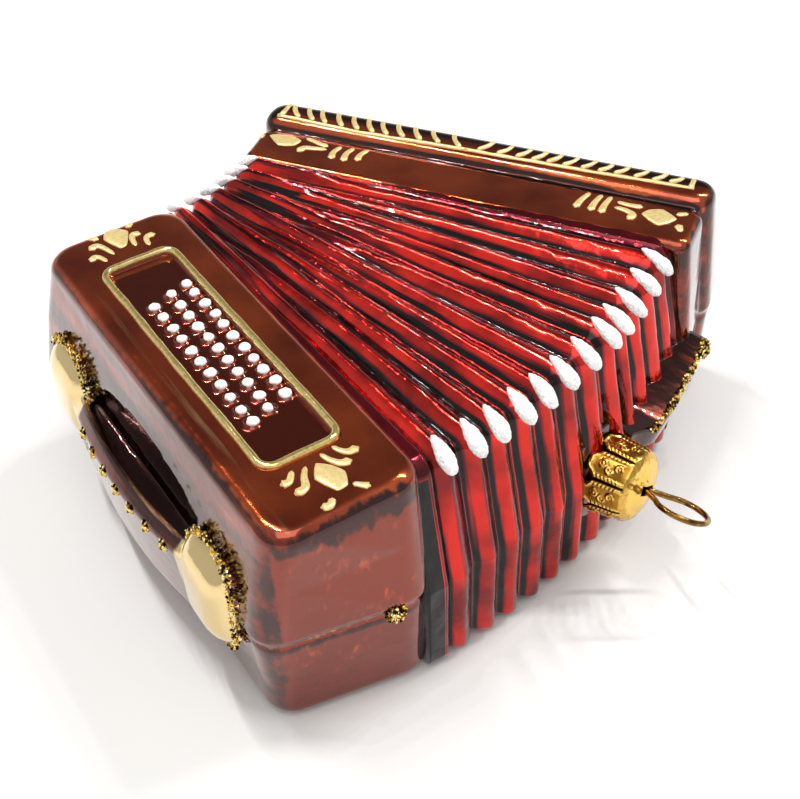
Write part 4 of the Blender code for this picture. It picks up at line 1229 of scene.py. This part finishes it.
@dataclass
class GoldPaint:
    """The pale gold lines, grille and flowers on the casings."""

    panel: ButtonCasing
    casing: GrilleCasing
    line: Spots = ((38.4, 13.5), (57.0, 12.9), (82.0, 13.9), (106.0, 14.4), (126.2, 15.4))

    def frame(self) -> None:
        """The line round the button panel, a little wavy as it was drawn by hand."""
        half = 0.75
        panel = self.panel
        low, high = panel.panel_along[0] + half, panel.panel_along[1] - half
        near, far = panel.panel_out[0] + half, panel.panel_out[1] - half
        corners = rounded_outline([(low, near), (high, near), (high, far), (low, far)], 2.6, 10)
        path = []
        for index, start in enumerate(corners):
            end = corners[(index + 1) % len(corners)]
            parts = int(dist(start, end) / 1.2) + 1
            for part in range(parts):
                share = part / parts
                x, y = (a + (b - a) * share for a, b in zip(start, end))
                drift = 0.12 * wobble((x, y, 0), 6.0)
                path.append(mm(x + drift, y + drift, FAN.height + 0.02))
        radii = [half * MM * (1 + 0.14 * wobble(Vector(p) / MM, 4.0, 2.0)) for p in path]
        line = Bench.bead("panel_line_gold", path, radii, closed=True)
        Bench.place(line, panel.place)
        Bench.finish(line, GOLD_LINE, "glass", "gold_enamel", ["panel_frame_gold"])

    def line_out(self, along: float) -> float:
        """How far out the grille's line lies at a place along the ridge."""
        out = self.line[-1][1]
        for (first, start), (last, end) in zip(self.line, self.line[1:]):
            if along <= last:
                out = start + (end - start) * max((along - first) / (last - first), 0.0)
                break
        return out + 0.12 * wobble((along, 0, 0), 5.0, 8.0)

    def grille(self, name: str, node: str, ends: Pair, feet: Sequence[float], lean: float) -> None:
        """A line along the ridge with slanting slats over its shoulder.

        Args:
            name: The piece's name.
            node: The CAD node that it stands for.
            ends: Where the line starts and ends along the ridge.
            feet: Where each slat's blob starts along the ridge.
            lean: How far a slat moves along by its tip.
        """
        steps = int((ends[1] - ends[0]) / 1.2)
        path, radii = [], []
        for step in range(steps + 1):
            along = ends[0] + (ends[1] - ends[0]) * step / steps
            out = self.line_out(along)
            path.append(mm(along, out, self.casing.ridge_surface(along, out) - 0.2))
            radii.append(0.52 * MM * (1 + 0.22 * wobble((along, 0, 3), 3.0)))
        pieces = [Bench.bead(name, path, radii)]
        for index, foot in enumerate(feet):
            wraps = foot in (ends[0] + 0.7, ends[1] - 0.7)
            line = self.line_out(foot)
            start = line if wraps else line + 0.7 + 0.3 * wobble((foot, 2, 0), 2.0, 1.0)
            last = 18.5 + 0.4 * wobble((foot, 5, 0), 2.0, 4.0)
            points, swell = [], []
            for step in range(12):
                share = step / 11
                out = start + (last - start) * share
                bow = 0.5 * sin(share * pi) * copysign(1, lean)
                along = foot + (0.0 if wraps else lean * share + bow)
                points.append(mm(along, out, self.casing.ridge_surface(along, out) - 0.24))
                round_end = min(1.0, 0.45 + share * 5, 0.4 + (1 - share) * 6)
                uneven = 1 + 0.12 * wobble((foot, share * 4, 1), 1.5)
                swell.append((0.7 - 0.18 * share) * MM * round_end * uneven)
            pieces.append(Bench.bead(f"{name}_slat_{index}", points, swell))
        grille = Bench.joined(name, pieces)
        Bench.place(grille, self.casing.place)
        Bench.finish(grille, GOLD_ENAMEL, "glass", "gold_enamel", [node])

    def lay(self, piece: Piece, surface: Surface, place: Matrix) -> None:
        """Lets a flat piece follow a casing's front, and moves it to the casing."""
        for vertex in piece.data.vertices:
            vertex.co.z += surface(vertex.co.x / MM, vertex.co.y / MM) * MM
        Bench.place(piece, place)

    def stroke(
        self, name: str, points: Spots, widths: Pair, surface: Surface, place: Matrix, node: str = ""
    ) -> None:
        """One brush stroke: a soft blob that runs out into a tail.

        Args:
            name: The piece's name.
            points: The stroke's path on the casing, in millimetres, from its blob.
            widths: The stroke's width at its start and its end.
            surface: The casing's front.
            place: The casing's place.
            node: The CAD node that it stands for, if there is one.
        """
        curve = curved(points, 6, False)
        last = len(curve) - 1
        path, radii = [], []
        for index, spot in enumerate(curve):
            share = index / last
            end_round = min(1.0, 0.5 + share * 6, 0.45 + (1 - share) * 5)
            width = 1.15 * (widths[0] + (widths[1] - widths[0]) * share**0.6)
            path.append((spot.x * MM, spot.y * MM, 0.0))
            radii.append(width / 2 * MM * end_round)
        start, end = Vector(path[0]), Vector(path[-1])
        head = start + (start - Vector(path[1])).normalized() * radii[0] * 0.7
        tail = end + (end - Vector(path[-2])).normalized() * radii[-1] * 0.7
        path = [tuple(head), *path, tuple(tail)]
        radii = [radii[0] * 0.4, *radii, radii[-1] * 0.35]
        piece = Bench.bead(name, path, radii)
        piece.data.transform(Matrix.Diagonal((1, 1, 0.42, 1)))
        self.lay(piece, surface, place)
        Bench.finish(piece, GOLD_ENAMEL, "glass", "gold_enamel", [node] if node else [])

    def petal(self, node: str, outline: Spots, surface: Surface, place: Matrix) -> None:
        """The broad middle petal of a flower, thick in the middle and thin at its rim."""
        soft = curved(outline, 6, True)
        rim = []
        for index, spot in enumerate(soft):
            first, last = (Vector(outline[(index // 6 + shift) % len(outline)]) for shift in (0, 1))
            rim.append(spot.lerp(first.lerp(last, index % 6 / 6), 0.55))
        middle = sum(rim, Vector((0, 0))) / len(rim)
        rings = []
        lower = ((0.94, -0.3), (1.02, -0.05), (1.01, 0.08))
        upper = ((0.95, 0.18), (0.8, 0.25), (0.4, 0.29), (0.02, 0.3))
        for share, level in (*lower, *upper):
            ring = []
            for spot in rim:
                at = middle + (spot - middle) * share
                ring.append(mm(at.x, at.y, level))
            rings.append(ring)
        piece = Bench.lofted(f"{node}_enamel", rings)
        self.lay(piece, surface, place)
        Bench.finish(piece, GOLD_ENAMEL, "glass", "gold_enamel", [node])

    def flowers(self) -> None:
        """The four flowers with their strokes."""
        button = (self.panel.surface, self.panel.place)
        grille = (self.casing.band_surface, self.casing.place)
        near = ((116.9, 12.7), (118.7, 10.8), (121.0, 9.8), (123.6, 10.9), (123.8, 12.9), (119.8, 14.5))
        far = ((39.3, 13.3), (41.1, 11.6), (42.8, 10.4), (46.6, 12.4), (46.8, 13.9), (42.6, 15.3))
        self.petal("flower_middle_button_near", near, *button)
        self.petal("flower_middle_button_far", far, *button)
        near = (
            (118.5, 6.2), (119.5, 7.9), (122.0, 8.8), (125.1, 6.7), (124.0, 4.8), (122.4, 3.6), (120.3, 4.6)
        )
        far = ((39.1, 7.9), (40.4, 8.9), (43.8, 9.3), (46.1, 8.2), (45.4, 6.1), (42.3, 5.2))
        self.petal("flower_middle_grille_near", near, *grille)
        self.petal("flower_middle_grille_far", far, *grille)
        near = (
            ([(117.6, 5.6), (117.6, 7.0), (116.6, 8.0), (115.1, 8.6)], (1.9, 0.7)),
            ([(119.4, 8.0), (119.0, 9.4), (117.3, 10.5), (115.5, 11.0)], (1.9, 0.7)),
            ([(117.9, 19.2), (117.9, 18.0), (116.2, 16.6)], (1.9, 0.8)),
            ([(120.8, 18.3), (120.4, 16.6), (118.3, 15.6), (116.6, 14.4)], (2.0, 0.7)),
            ([(125.7, 8.4), (124.8, 9.3), (123.9, 10.1)], (1.5, 0.8)),
            ([(124.8, 14.4), (125.8, 15.4), (125.5, 16.6)], (0.9, 1.5)),
        )
        far = (
            ([(44.8, 9.0), (44.3, 10.1), (45.6, 10.8), (47.8, 11.1)], (1.6, 0.8)),
            ([(46.5, 6.8), (46.4, 8.0), (47.4, 8.7), (49.1, 8.9)], (1.6, 0.8)),
            ([(41.3, 9.9), (40.7, 8.7)], (1.7, 0.9)),
            ([(41.7, 16.3), (40.4, 17.5)], (1.6, 0.9)),
            ([(44.0, 18.6), (43.6, 17.3), (44.9, 16.4), (47.8, 15.6)], (1.8, 0.8)),
            ([(47.4, 19.9), (46.7, 19.0), (47.4, 18.2), (49.1, 17.6)], (1.6, 0.8)),
        )
        for label, strokes in (("near", near), ("far", far)):
            for index, (points, widths) in enumerate(strokes):
                node = f"stroke_button_{label}_{index + 1}"
                self.stroke(f"{node}_enamel", points, widths, *button, node)
        bars = {
            "bar_grille_far_1": ((54.6, 4.4), (54.2, 6.6), (54.9, 8.8)),
            "bar_grille_far_2": ((57.3, 4.4), (56.9, 6.9), (57.6, 9.1)),
            "bar_grille_far_3": ((59.9, 5.4), (59.8, 7.4), (60.6, 9.5)),
            "bar_grille_near_1": ((106.0, 4.4), (106.4, 6.9), (107.3, 9.6)),
            "bar_grille_near_2": ((109.0, 4.3), (109.1, 6.9), (109.7, 9.7)),
            "bar_grille_near_3": ((111.1, 4.2), (111.1, 6.8), (111.6, 9.7)),
        }
        for node, points in bars.items():
            self.stroke(f"{node}_enamel", points, (1.6, 0.9), *grille, node)
        curls = {
            "curl_grille_far": ((47.2, 4.6), (47.9, 6.0), (50.0, 6.5), (52.3, 6.9)),
            "curl_grille_near": ((116.6, 3.9), (117.0, 5.3), (115.3, 6.3), (113.2, 6.6)),
        }
        for node, points in curls.items():
            self.stroke(f"{node}_enamel", points, (1.8, 0.9), *grille, node)
        extras = {
            "curl_grille_far_upper": (((52.0, 8.1), (50.4, 8.4), (48.4, 9.0), (46.9, 9.4)), (1.3, 0.8)),
            "curl_grille_near_upper": (((117.9, 8.3), (115.4, 8.2), (113.2, 8.5)), (1.4, 0.8)),
            "dab_grille_far": (((36.9, 7.2), (37.8, 7.8)), (1.5, 1.3)),
            "dab_grille_near_upper": (((124.9, 8.1), (126.7, 9.0)), (1.2, 0.9)),
            "dab_grille_near_lower": (((125.9, 4.7), (126.8, 3.1)), (1.9, 0.9)),
        }
        for name, (points, widths) in extras.items():
            self.stroke(f"{name}_enamel", points, widths, *grille)

    def build(self) -> None:
        """Makes all the gold paint."""
        self.frame()
        far_feet = (39.1, 43.0, 46.3, 49.3, 53.1, 56.6, 60.0, 63.1, 66.6, 70.3, 74.2, 78.8)
        near_feet = (82.3, 86.4, 90.3, 93.6, 96.7, 100.0, 103.7, 107.1, 110.3, 114.2, 117.8, 121.1, 125.5)
        self.grille("grille_far_enamel", "grille_gold_far", (38.4, 79.9), far_feet, -2.8)
        self.grille("grille_near_enamel", "grille_gold_near", (79.9, 126.2), near_feet, 2.3)
        self.flowers()


@dataclass
class WhitePaint:
    """The crystalline white enamel on the buttons and on the ends of the folds."""

    near_size: Point = (7.4, 3.4, 2.8)
    far_size: Point = (6.8, 2.8, 2.6)
    near_spot: Pair = (124.9, 45.8)
    far_spot: Pair = (37.4, 45.6)
    bend: float = 18.0

    def button_tops(self, panel: ButtonCasing) -> None:
        """An uneven drop of enamel on every button."""
        top = FAN.height - panel.panel_depth + panel.button_radius
        drops = []
        for index, (along, out) in enumerate(panel.button_places()):
            wide = 2.25 + 0.5 * wobble((along, out, 0), 1.5, 4.0)
            drop = Bench.drop("button_top", mm(wide, wide - 0.15, 1.2), 3)
            Bench.roughen(drop, 0.9 * MM, 0.2 * MM, index)
            shift = [0.35 * wobble((out, along, step), 1.3, 7.0) for step in (1.5, 4.5)]
            spot = mm(along + shift[0], out + shift[1], top - 0.5)
            drop.data.transform(Matrix.Translation(spot))
            drops.append(drop)
        tops = Bench.joined("button_tops_enamel", drops)
        Bench.place(tops, panel.place)
        Bench.finish(tops, WHITE_ENAMEL, "glass", "white_enamel")

    def tip(self, name: str, node: str, place: Matrix, size: Point, seed: float) -> None:
        """One drop that is blunt at the edge and runs out to a point along its fold.

        Args:
            name: The piece's name.
            node: The CAD node that it stands for.
            place: Its place, with X towards the edge.
            size: Its length, width and height in millimetres.
            seed: What makes its grain its own.
        """
        piece = Bench.drop(name, mm(*size), 5)
        length = size[0] * MM

        def teardrop(point: Vector) -> Vector:
            """Narrows the inner end and bends the outer one down."""
            share = point.x / length + 0.5
            narrow = 0.45 + 0.62 * min(max(share, 0.0), 1.0) ** 0.7
            return Vector((point.x, point.y * narrow, point.z * narrow - self.bend * point.x**2))

        Bench.shape(piece, teardrop)
        Bench.roughen(piece, 1.6 * MM, 0.18 * MM, seed)
        Bench.roughen(piece, 0.45 * MM, 0.12 * MM, seed + 5)
        Bench.place(piece, place)
        Bench.finish(piece, WHITE_ENAMEL, "glass", "white_enamel", [node])

    def build(self, panel: ButtonCasing, bellows: Bellows) -> None:
        """Makes all the white enamel."""
        self.button_tops(panel)
        for index, angle in enumerate(bellows.near_crests):
            place = FAN.on_bellows(radians(angle), *self.near_spot, radians(34))
            node = f"white_tip_near_{index + 1:02d}"
            self.tip(f"{node}_enamel", node, place, self.near_size, index * 1.3)
        for index, angle in enumerate(bellows.far_crests):
            place = FAN.on_bellows(radians(angle), *self.far_spot, radians(-30))
            place = place @ Matrix.Rotation(pi, 4, "Z")
            node = f"white_tip_far_{index + 1:02d}"
            self.tip(f"{node}_enamel", node, place, self.far_size, index * 1.7 + 20)


@dataclass
class GlitterTrim:
    """Granular gold on the strap, round its plates and on the casings' ends."""

    grain_size: Pair = (0.5, 0.9)
    line_grain_size: Pair = (0.45, 0.85)
    studs: int = 7
    stud_grains: int = 46
    lump_grains: int = 110

    def grains(self, name: str, spots: Sequence[tuple[Vector, float]], node: str = "") -> None:
        """Heaps glass grains over places, each turned its own way.

        Args:
            name: The piece's name.
            spots: The middle of each grain, and its size.
            node: The CAD node that the heap stands for, if there is one.
        """
        Bench.clear_selection()
        bpy.ops.mesh.primitive_ico_sphere_add(subdivisions=1, radius=0.5)
        model = Bench.take("grain")
        model.data.transform(Matrix.Diagonal((1.0, 0.9, 0.55, 1)))
        grains = []
        chance = random.Random(len(name) * 31 + len(spots))
        for middle, size in spots:
            mesh = model.data.copy()
            turn = Euler([chance.uniform(0, tau) for _ in range(3)]).to_matrix().to_4x4()
            mesh.transform(Matrix.Translation(middle) @ turn @ Matrix.Scale(size, 4))
            layer = mesh.attributes.new("grain_tone_and_painted_light", "FLOAT", "POINT")
            layer.data.foreach_set("value", [chance.random()] * len(mesh.vertices))
            grain = bpy.data.objects.new("grain", mesh)
            bpy.context.scene.collection.objects.link(grain)
            grains.append(grain)
        bpy.data.objects.remove(model)
        heap = Bench.joined(name, grains)
        Bench.finish(heap, GOLD_GLITTER, "glass", "gold_glitter", [node] if node else [])
        bpy.ops.object.shade_flat()

    def lump(self, name: str, node: str, place: Matrix, size: Point, count: int, seed: float) -> None:
        """One lump of glitter, as grains all over a ragged dome."""
        chance = random.Random(seed)
        spots = []
        for index in range(count):
            up = 1 - 2 * (index + 0.5) / count
            turn = index * pi * (3 - sqrt(5))
            flat = sqrt(1 - up * up)
            way = Vector((flat * cos(turn), flat * sin(turn), up))
            reach = 0.5 * chance.uniform(0.72, 1.05)
            spot = place @ Vector([part * extent * reach for part, extent in zip(way, size)])
            spots.append((spot, chance.uniform(*self.grain_size) * MM))
        self.grains(name, spots, node)

    def line(self, name: str, path: Sequence[Point], radius: float, density: int, seed: int) -> None:
        """A ragged line of grains along a path in the object's frame."""
        chance = random.Random(seed)
        spots = []
        for point in path:
            for _ in range(density):
                shift = Vector([chance.gauss(0, radius * 0.5) for _ in range(3)])
                shift.length = min(shift.length, radius)
                spots.append((Vector(point) + shift, chance.uniform(*self.line_grain_size) * MM))
        self.grains(name, spots)

    def plate_edge(self, panel: ButtonCasing, index: int) -> None:
        """The glitter where a plate's upper and cap-side edges meet the casing."""
        along, up, wide, tall = panel.plates[index]
        first, last = ((140, -75), (188, -80))[index]
        path = []
        for step in range(64):
            angle = radians(first + (last - first) * step / 63)
            x = copysign(abs(cos(angle)) ** 0.68, cos(angle)) * wide * 0.95
            z = copysign(abs(sin(angle)) ** 0.68, sin(angle)) * tall * 0.95
            out = panel.side_out(up + z) + 0.45
            path.append(tuple(panel.place @ Vector(mm(along + x, out, up + z))))
        self.line(f"plate_edge_glitter_{index + 1}", path, 0.9 * MM, 8, index)

    def build(self, panel: ButtonCasing) -> None:
        """Makes all the glitter."""
        for index in range(self.studs):
            along = 66.0 + 33.0 * index / (self.studs - 1)
            out = panel.strap_centre(along) + panel.strap_thickness / 2 - 0.2
            place = panel.place @ Matrix.Translation(mm(along, out, 26.2))
            node = f"glitter_stud_{index + 1}"
            self.lump(f"{node}_grains", node, place, mm(2.3, 1.4, 2.3), self.stud_grains, index)
        place = panel.place @ Matrix.Translation(mm(129.6, 7.1, 20.6))
        size = mm(2.8, 3.6, 3.8)
        self.lump("button_casing_glitter", "glitter_stud_button_casing", place, size, self.lump_grains, 11)
        place = FAN.on_bellows(radians(17.6), 134.6, 22.4, 0)
        size = mm(2.2, 3.2, 4.0)
        self.lump("grille_casing_glitter", "glitter_stud_grille_casing", place, size, self.lump_grains, 12)
        for index in range(len(panel.plates)):
            self.plate_edge(panel, index)
        path = []
        for step in range(70):
            share = step / 69
            angle = radians(18.2 - 11.8 * share)
            path.append(FAN.point(angle, 134.2 - 0.6 * share, 23.4 - 1.2 * share))
        self.line("bellows_strap_glitter", path, 0.7 * MM, 5, 30)


@dataclass
class HangerCap:
    """The stamped crown cap with its pointed petals, rope rims, scrolls and slot."""

    seat: CapSeat
    mouth: float = 3.0
    top: float = 12.9
    radius: float = 7.0
    flare: float = 0.7
    sheet: float = 0.45
    petals: int = 8
    slot: Pair = (4.6, 1.9)
    shoulder: float = 2.4
    dome: float = 1.0
    petal_length: float = 7.7
    steps: int = 288

    def side_radius(self, place: float) -> float:
        """The wall's outer radius, which flares a little towards the mouth."""
        share = max(1 - (place - self.mouth) / self.petal_length, 0.0)
        return self.radius - 0.1 + self.flare * share**1.5

    def profile(self) -> list[Pair]:
        """The sheet's section as (place, radius), outside from mouth to top and back inside."""
        side = self.top - self.dome - self.shoulder - self.mouth
        outside = []
        for step in range(41):
            place = self.mouth + side * step / 40
            outside.append((place, self.side_radius(place)))
        for step in range(1, 15):
            angle = step / 14 * pi / 2
            outside.append(
                (
                    self.top - self.dome - self.shoulder * (1 - sin(angle)),
                    self.radius - 0.1 - self.shoulder * (1 - cos(angle)),
                )
            )
        rim = self.radius - 0.1 - self.shoulder
        for step in range(1, 13):
            share = 1 - step / 12
            outside.append((self.top - self.dome * share**2, rim * share + 0.02))
        inner_top = self.top - self.dome - self.sheet - 0.2
        inside = []
        for share in (0, 0.25, 0.5, 0.75, 1):
            inside.append((inner_top + self.dome * (1 - share**2), rim * share + 0.02))
        for step in (4, 8, 12):
            angle = pi / 2 * (1 - step / 12)
            bend = self.shoulder - self.sheet
            side = self.radius - self.sheet - 0.1 - bend * (1 - cos(angle))
            inside.append((inner_top - bend * (1 - sin(angle)), side))
        inside.append((self.mouth, self.side_radius(self.mouth) - self.sheet))
        return [*outside, *inside]

    def gap_half(self, place: float) -> float:
        """Half the width of the gap between two petals at a place, in millimetres."""
        from_mouth = place - self.mouth
        if from_mouth < 1.8:
            return 1.85 - 1.5 * from_mouth / 1.8
        return 0.35 - 0.15 * (from_mouth - 1.8) / (self.petal_length - 1.8)

    def raised(self, place: float, turn: float) -> float:
        """How far the stamping stands out, from 0 in its hollows to 1."""
        share = (turn / tau * self.petals) % 1.0
        width = tau * self.radius / self.petals
        from_gap = min(share, 1 - share) * width
        rim_distance = min(from_gap - self.gap_half(place), place - self.mouth)
        end = self.mouth + self.petal_length
        if place > end:
            rim_distance = min(from_gap, 9.0) if place < end + 0.5 else 9.0
        rope = 0.75 + 0.25 * cos(tau * (place + 0.6 * from_gap) / 0.75)
        rim = exp(-(((rim_distance - 0.45) / 0.27) ** 2)) * rope if place <= end else 0.0
        crown = exp(-(((place - end - 0.25) / 0.3) ** 2)) * 0.6
        across = (share - 0.5) * width
        scroll = 0.0
        for number, middle in enumerate((2.6, 4.2, 5.8)):
            side = 0.38 if number % 2 else -0.38
            dx, dy = place - self.mouth - middle, across - side
            from_middle = hypot(dx, dy)
            opening = 0.5 + 0.5 * tanh(3 * (cos(atan2(dy, dx) - number * 2.2) + 0.6))
            scroll = max(scroll, exp(-(((from_middle - 0.62) / 0.2) ** 2)) * opening)
            scroll = max(scroll, exp(-((from_middle / 0.22) ** 2)) * 0.9)
        if place > end - 0.4:
            scroll = 0.0
        return max(rim, crown, scroll * 0.8)

    def build(self) -> None:
        """Makes the cap and dresses it."""
        profile = self.profile()
        outer = len(profile) - 9
        stamped = 0.3
        rings = []
        for index in range(self.steps):
            turn = tau * index / self.steps
            ring = []
            for number, (place, radius) in enumerate(profile):
                height = self.raised(place, turn) if number < outer and radius > 1.0 else 0.0
                axial = smooth_step(self.top - self.dome - self.shoulder, self.top - self.dome, place)
                reach = radius + stamped * height * (1 - 0.7 * axial)
                spot = (radius * cos(turn), radius * sin(turn), place)
                hammered = 0.0
                if number < outer and radius > 0.5:
                    past = smooth_step(0, 0.7, place - self.mouth - self.petal_length)
                    hammered = 0.16 * (1 + wobble(spot, 0.9, 6.0)) * past
                sink = place - hammered * axial
                reach -= hammered * (1 - axial)
                ring.append((sink * MM, reach * MM * cos(turn), reach * MM * sin(turn)))
            rings.append(ring)
        rings.append(rings[0])
        cap = Bench.lofted("crown_cap_brass", rings, capped=False)
        for index in range(self.petals):
            Bench.combine(cap, self.gap(index), "DIFFERENCE")
        Bench.clear_selection()
        bpy.ops.mesh.primitive_cube_add(size=1)
        cut = Bench.take("slot_cut")
        cut.data.transform(Matrix.Diagonal((6 * MM, self.slot[0] * MM, self.slot[1] * MM, 1)))
        cut.data.transform(Matrix.Translation((self.top * MM, 0, 0)))
        Bench.combine(cap, cut, "DIFFERENCE")
        Bench.mark(cap, "relief", self.relief)
        Bench.place(cap, self.seat.place())
        Bench.finish(cap, CAP_BRASS, "cap", "cap_brass", ["hanger_cap"])
        Bench.make_active(cap)
        bpy.ops.object.shade_smooth_by_angle(angle=radians(50))

    def relief(self, point: Vector) -> float:
        """How far a place of the cap stands out of the stamping's hollows, which sets its painted shade."""
        place, reach = point.x / MM, hypot(point.y, point.z) / MM
        if place > self.mouth + self.petal_length + 0.8:
            return 0.75
        if reach < self.side_radius(place) - 0.2:
            return 0.3
        return min(self.raised(place, atan2(point.z, point.y) % tau), 1.0)

    def gap(self, index: int) -> Piece:
        """One tapering gap between two petals, as a cutter."""
        start = self.mouth
        bend, deepest = start + 1.8, start + self.petal_length
        before = start - 1.0
        outline = [
            (before, -self.gap_half(before)),
            (bend, -self.gap_half(bend)),
            (deepest, -self.gap_half(deepest)),
            (deepest, self.gap_half(deepest)),
            (bend, self.gap_half(bend)),
            (before, self.gap_half(before)),
        ]
        levels = (self.radius - 2, self.radius + 2)
        cut = Bench.lofted("gap_cut", [[mm(x, y, z) for x, y in outline] for z in levels])
        Bench.place(cut, Matrix.Rotation(tau * index / self.petals, 4, "X"))
        return cut


@dataclass
class HangerWire:
    """The bent spring wire with its ring."""

    cap: HangerCap
    radius: float = 0.55
    end: float = 25.2
    half_width: float = 5.8
    droop: float = radians(6.0)

    def path(self) -> list[Vector]:
        """The wire's middle line in the cap's own directions, in millimetres."""
        slot = self.cap.top
        middle = (self.end + slot) / 2 + 0.7
        reach = self.end - middle - self.radius
        leg = ((2.2, 3.3), (6.2, 2.7), (slot - 1.6, 1.25), (slot + 0.6, 1.25))
        half = [Vector((*spot, 0)) for spot in leg]
        for step in range(25):
            angle = radians(145) * (1 - step / 24)
            half.append(
                Vector((middle + reach * cos(angle), (self.half_width - self.radius) * sin(angle), 0))
            )
        other = [Vector((point.x, -point.y, 0)) for point in reversed(half[:-1])]
        return [*half, *other]

    def build(self) -> None:
        """Makes the wire and dresses it."""
        pivot = Matrix.Translation((self.cap.top * MM, 0, 0))
        place = self.cap.seat.place() @ pivot @ Matrix.Rotation(self.droop, 4, "Y")
        points = [tuple((point - Vector((self.cap.top, 0, 0))) * MM) for point in self.path()]
        wire = Bench.bead("hanger_ring_wire", points, [self.radius * MM] * len(points))
        Bench.place(wire, place)
        Bench.finish(wire, WIRE_GOLD, "hanger", "wire_gold", ["hanger_wire"])


@dataclass
class Studio:
    """The pale floor, the lamps and the camera."""

    floor_colour: str = "#efeeec"
    camera_place: Point = (0.13221, -0.15068, 0.20228)
    camera_right: Point = (0.7695, 0.6376, -0.0356)
    camera_up: Point = (-0.4110, 0.5372, 0.7366)
    lens: float = 63.14
    floor_size: float = 4.0
    soft_power: float = 4.2
    spots_in_row: int = 7
    spot_size: float = 0.025
    spot_power: float = 1.1

    def floor(self) -> None:
        """A seamless sheet of pale paper."""
        Bench.clear_selection()
        bpy.ops.mesh.primitive_plane_add(size=self.floor_size, location=(0, 0, -0.0001))
        sheet = Bench.take("paper_floor")
        made = bpy.data.materials.new("pale_paper")
        made.use_nodes = True
        shader = made.node_tree.nodes["Principled BSDF"]
        shader.inputs["Base Color"].default_value = paint(self.floor_colour)
        shader.inputs["Roughness"].default_value = 0.85
        sheet.data.materials.append(made)

    def world(self) -> None:
        """A pale room, brighter on the camera's side and overhead, dimmer beyond the object."""
        world = bpy.data.worlds.new("pale_room")
        bpy.context.scene.world = world
        world.use_nodes = True
        tree = world.node_tree
        tree.nodes.clear()
        place = add_node(tree, "TexCoord", out="Generated")
        dim_side = Vector((-0.52, 0.6, 0.6)).normalized()
        both = {0: place, 1: tuple(dim_side)}
        along = add_node(tree, "VectorMath", both, "Value", operation="DOT_PRODUCT")
        up = add_node(tree, "SeparateXYZ", {"Vector": place}, "Z")
        shares = []
        for value, low, high in ((along, 0.45, 0.92), (up, 0.12, 0.4)):
            ends = {"Value": value, "From Min": low, "From Max": high}
            shares.append(add_node(tree, "MapRange", ends, interpolation_type="SMOOTHSTEP"))
        dimmed = add_node(tree, "Math", {0: shares[0], 1: shares[1]}, operation="MULTIPLY")
        room = add_node(tree, "Mix", {0: dimmed, 6: "#c9c8c6", 7: "#625f5d"}, 2, data_type="RGBA")
        seen = add_node(tree, "LightPath", out="Is Camera Ray")
        colour = add_node(tree, "Mix", {0: seen, 6: room, 7: "#eceeea"}, 2, data_type="RGBA")
        back = add_node(tree, "Background", {"Color": colour, "Strength": 1.0})
        add_node(tree, "OutputWorld", {"Surface": back})

    def lamp(self, name: str, place: Point, size: Pair, power: float) -> None:
        """A rectangular lamp that faces the object."""
        Bench.clear_selection()
        bpy.ops.object.light_add(type="AREA", location=place)
        lamp = bpy.context.view_layer.objects.active
        lamp.name = name
        lamp.data.shape = "RECTANGLE"
        lamp.data.size, lamp.data.size_y = size
        lamp.data.energy = power
        lamp.rotation_euler = (Vector((0, 0, 0.02)) - Vector(place)).to_track_quat("-Z", "Y").to_euler()

    def lamps(self) -> None:
        """One broad soft box behind the camera and rows of small lamps that sparkle in the glass."""
        self.lamp("soft_box", (0.35, -0.4, 1.2), (1.0, 0.8), self.soft_power)
        rows = (((-0.62, 0.1, 1.0), (-0.25, -0.15, 1.3)), ((0.05, 0.55, 1.0), (0.5, 0.85, 0.9)))
        for row, (start, end) in enumerate(rows):
            for index in range(self.spots_in_row):
                place = Vector(start).lerp(Vector(end), index / (self.spots_in_row - 1))
                size = (self.spot_size, self.spot_size)
                self.lamp(f"spot_{row}_{index}", tuple(place), size, self.spot_power)

    def camera(self) -> None:
        """The photograph's view."""
        data = bpy.data.cameras.new("camera")
        data.sensor_width = 36.0
        data.sensor_fit = "HORIZONTAL"
        data.lens = self.lens
        data.clip_start = 0.01
        camera = bpy.data.objects.new("camera", data)
        right, up = Vector(self.camera_right).normalized(), Vector(self.camera_up)
        back = right.cross(up).normalized()
        up = back.cross(right)
        turn = Matrix((right, up, back)).transposed().to_4x4()
        camera.matrix_world = Matrix.Translation(self.camera_place) @ turn
        bpy.context.scene.collection.objects.link(camera)
        bpy.context.scene.camera = camera

    def build(self) -> None:
        """Sets up the studio."""
        self.camera()
        self.floor()
        self.world()
        self.lamps()
        bpy.context.scene.view_settings.view_transform = "Standard"


def main() -> None:
    """Builds the ornament's pieces in order round the CAD frame."""
    logging.basicConfig(level=logging.INFO, format="%(name)s %(message)s")
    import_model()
    Studio().build()
    panel, casing, bellows, seat = ButtonCasing(), GrilleCasing(), Bellows(), CapSeat()
    panel.build()
    casing.build()
    bellows.build()
    seat.build()
    GoldPaint(panel, casing).build()
    WhitePaint().build(panel, bellows)
    GlitterTrim().build(panel)
    cap = HangerCap(seat)
    cap.build()
    HangerWire(cap).build()


if __name__ == "__main__":
    main()
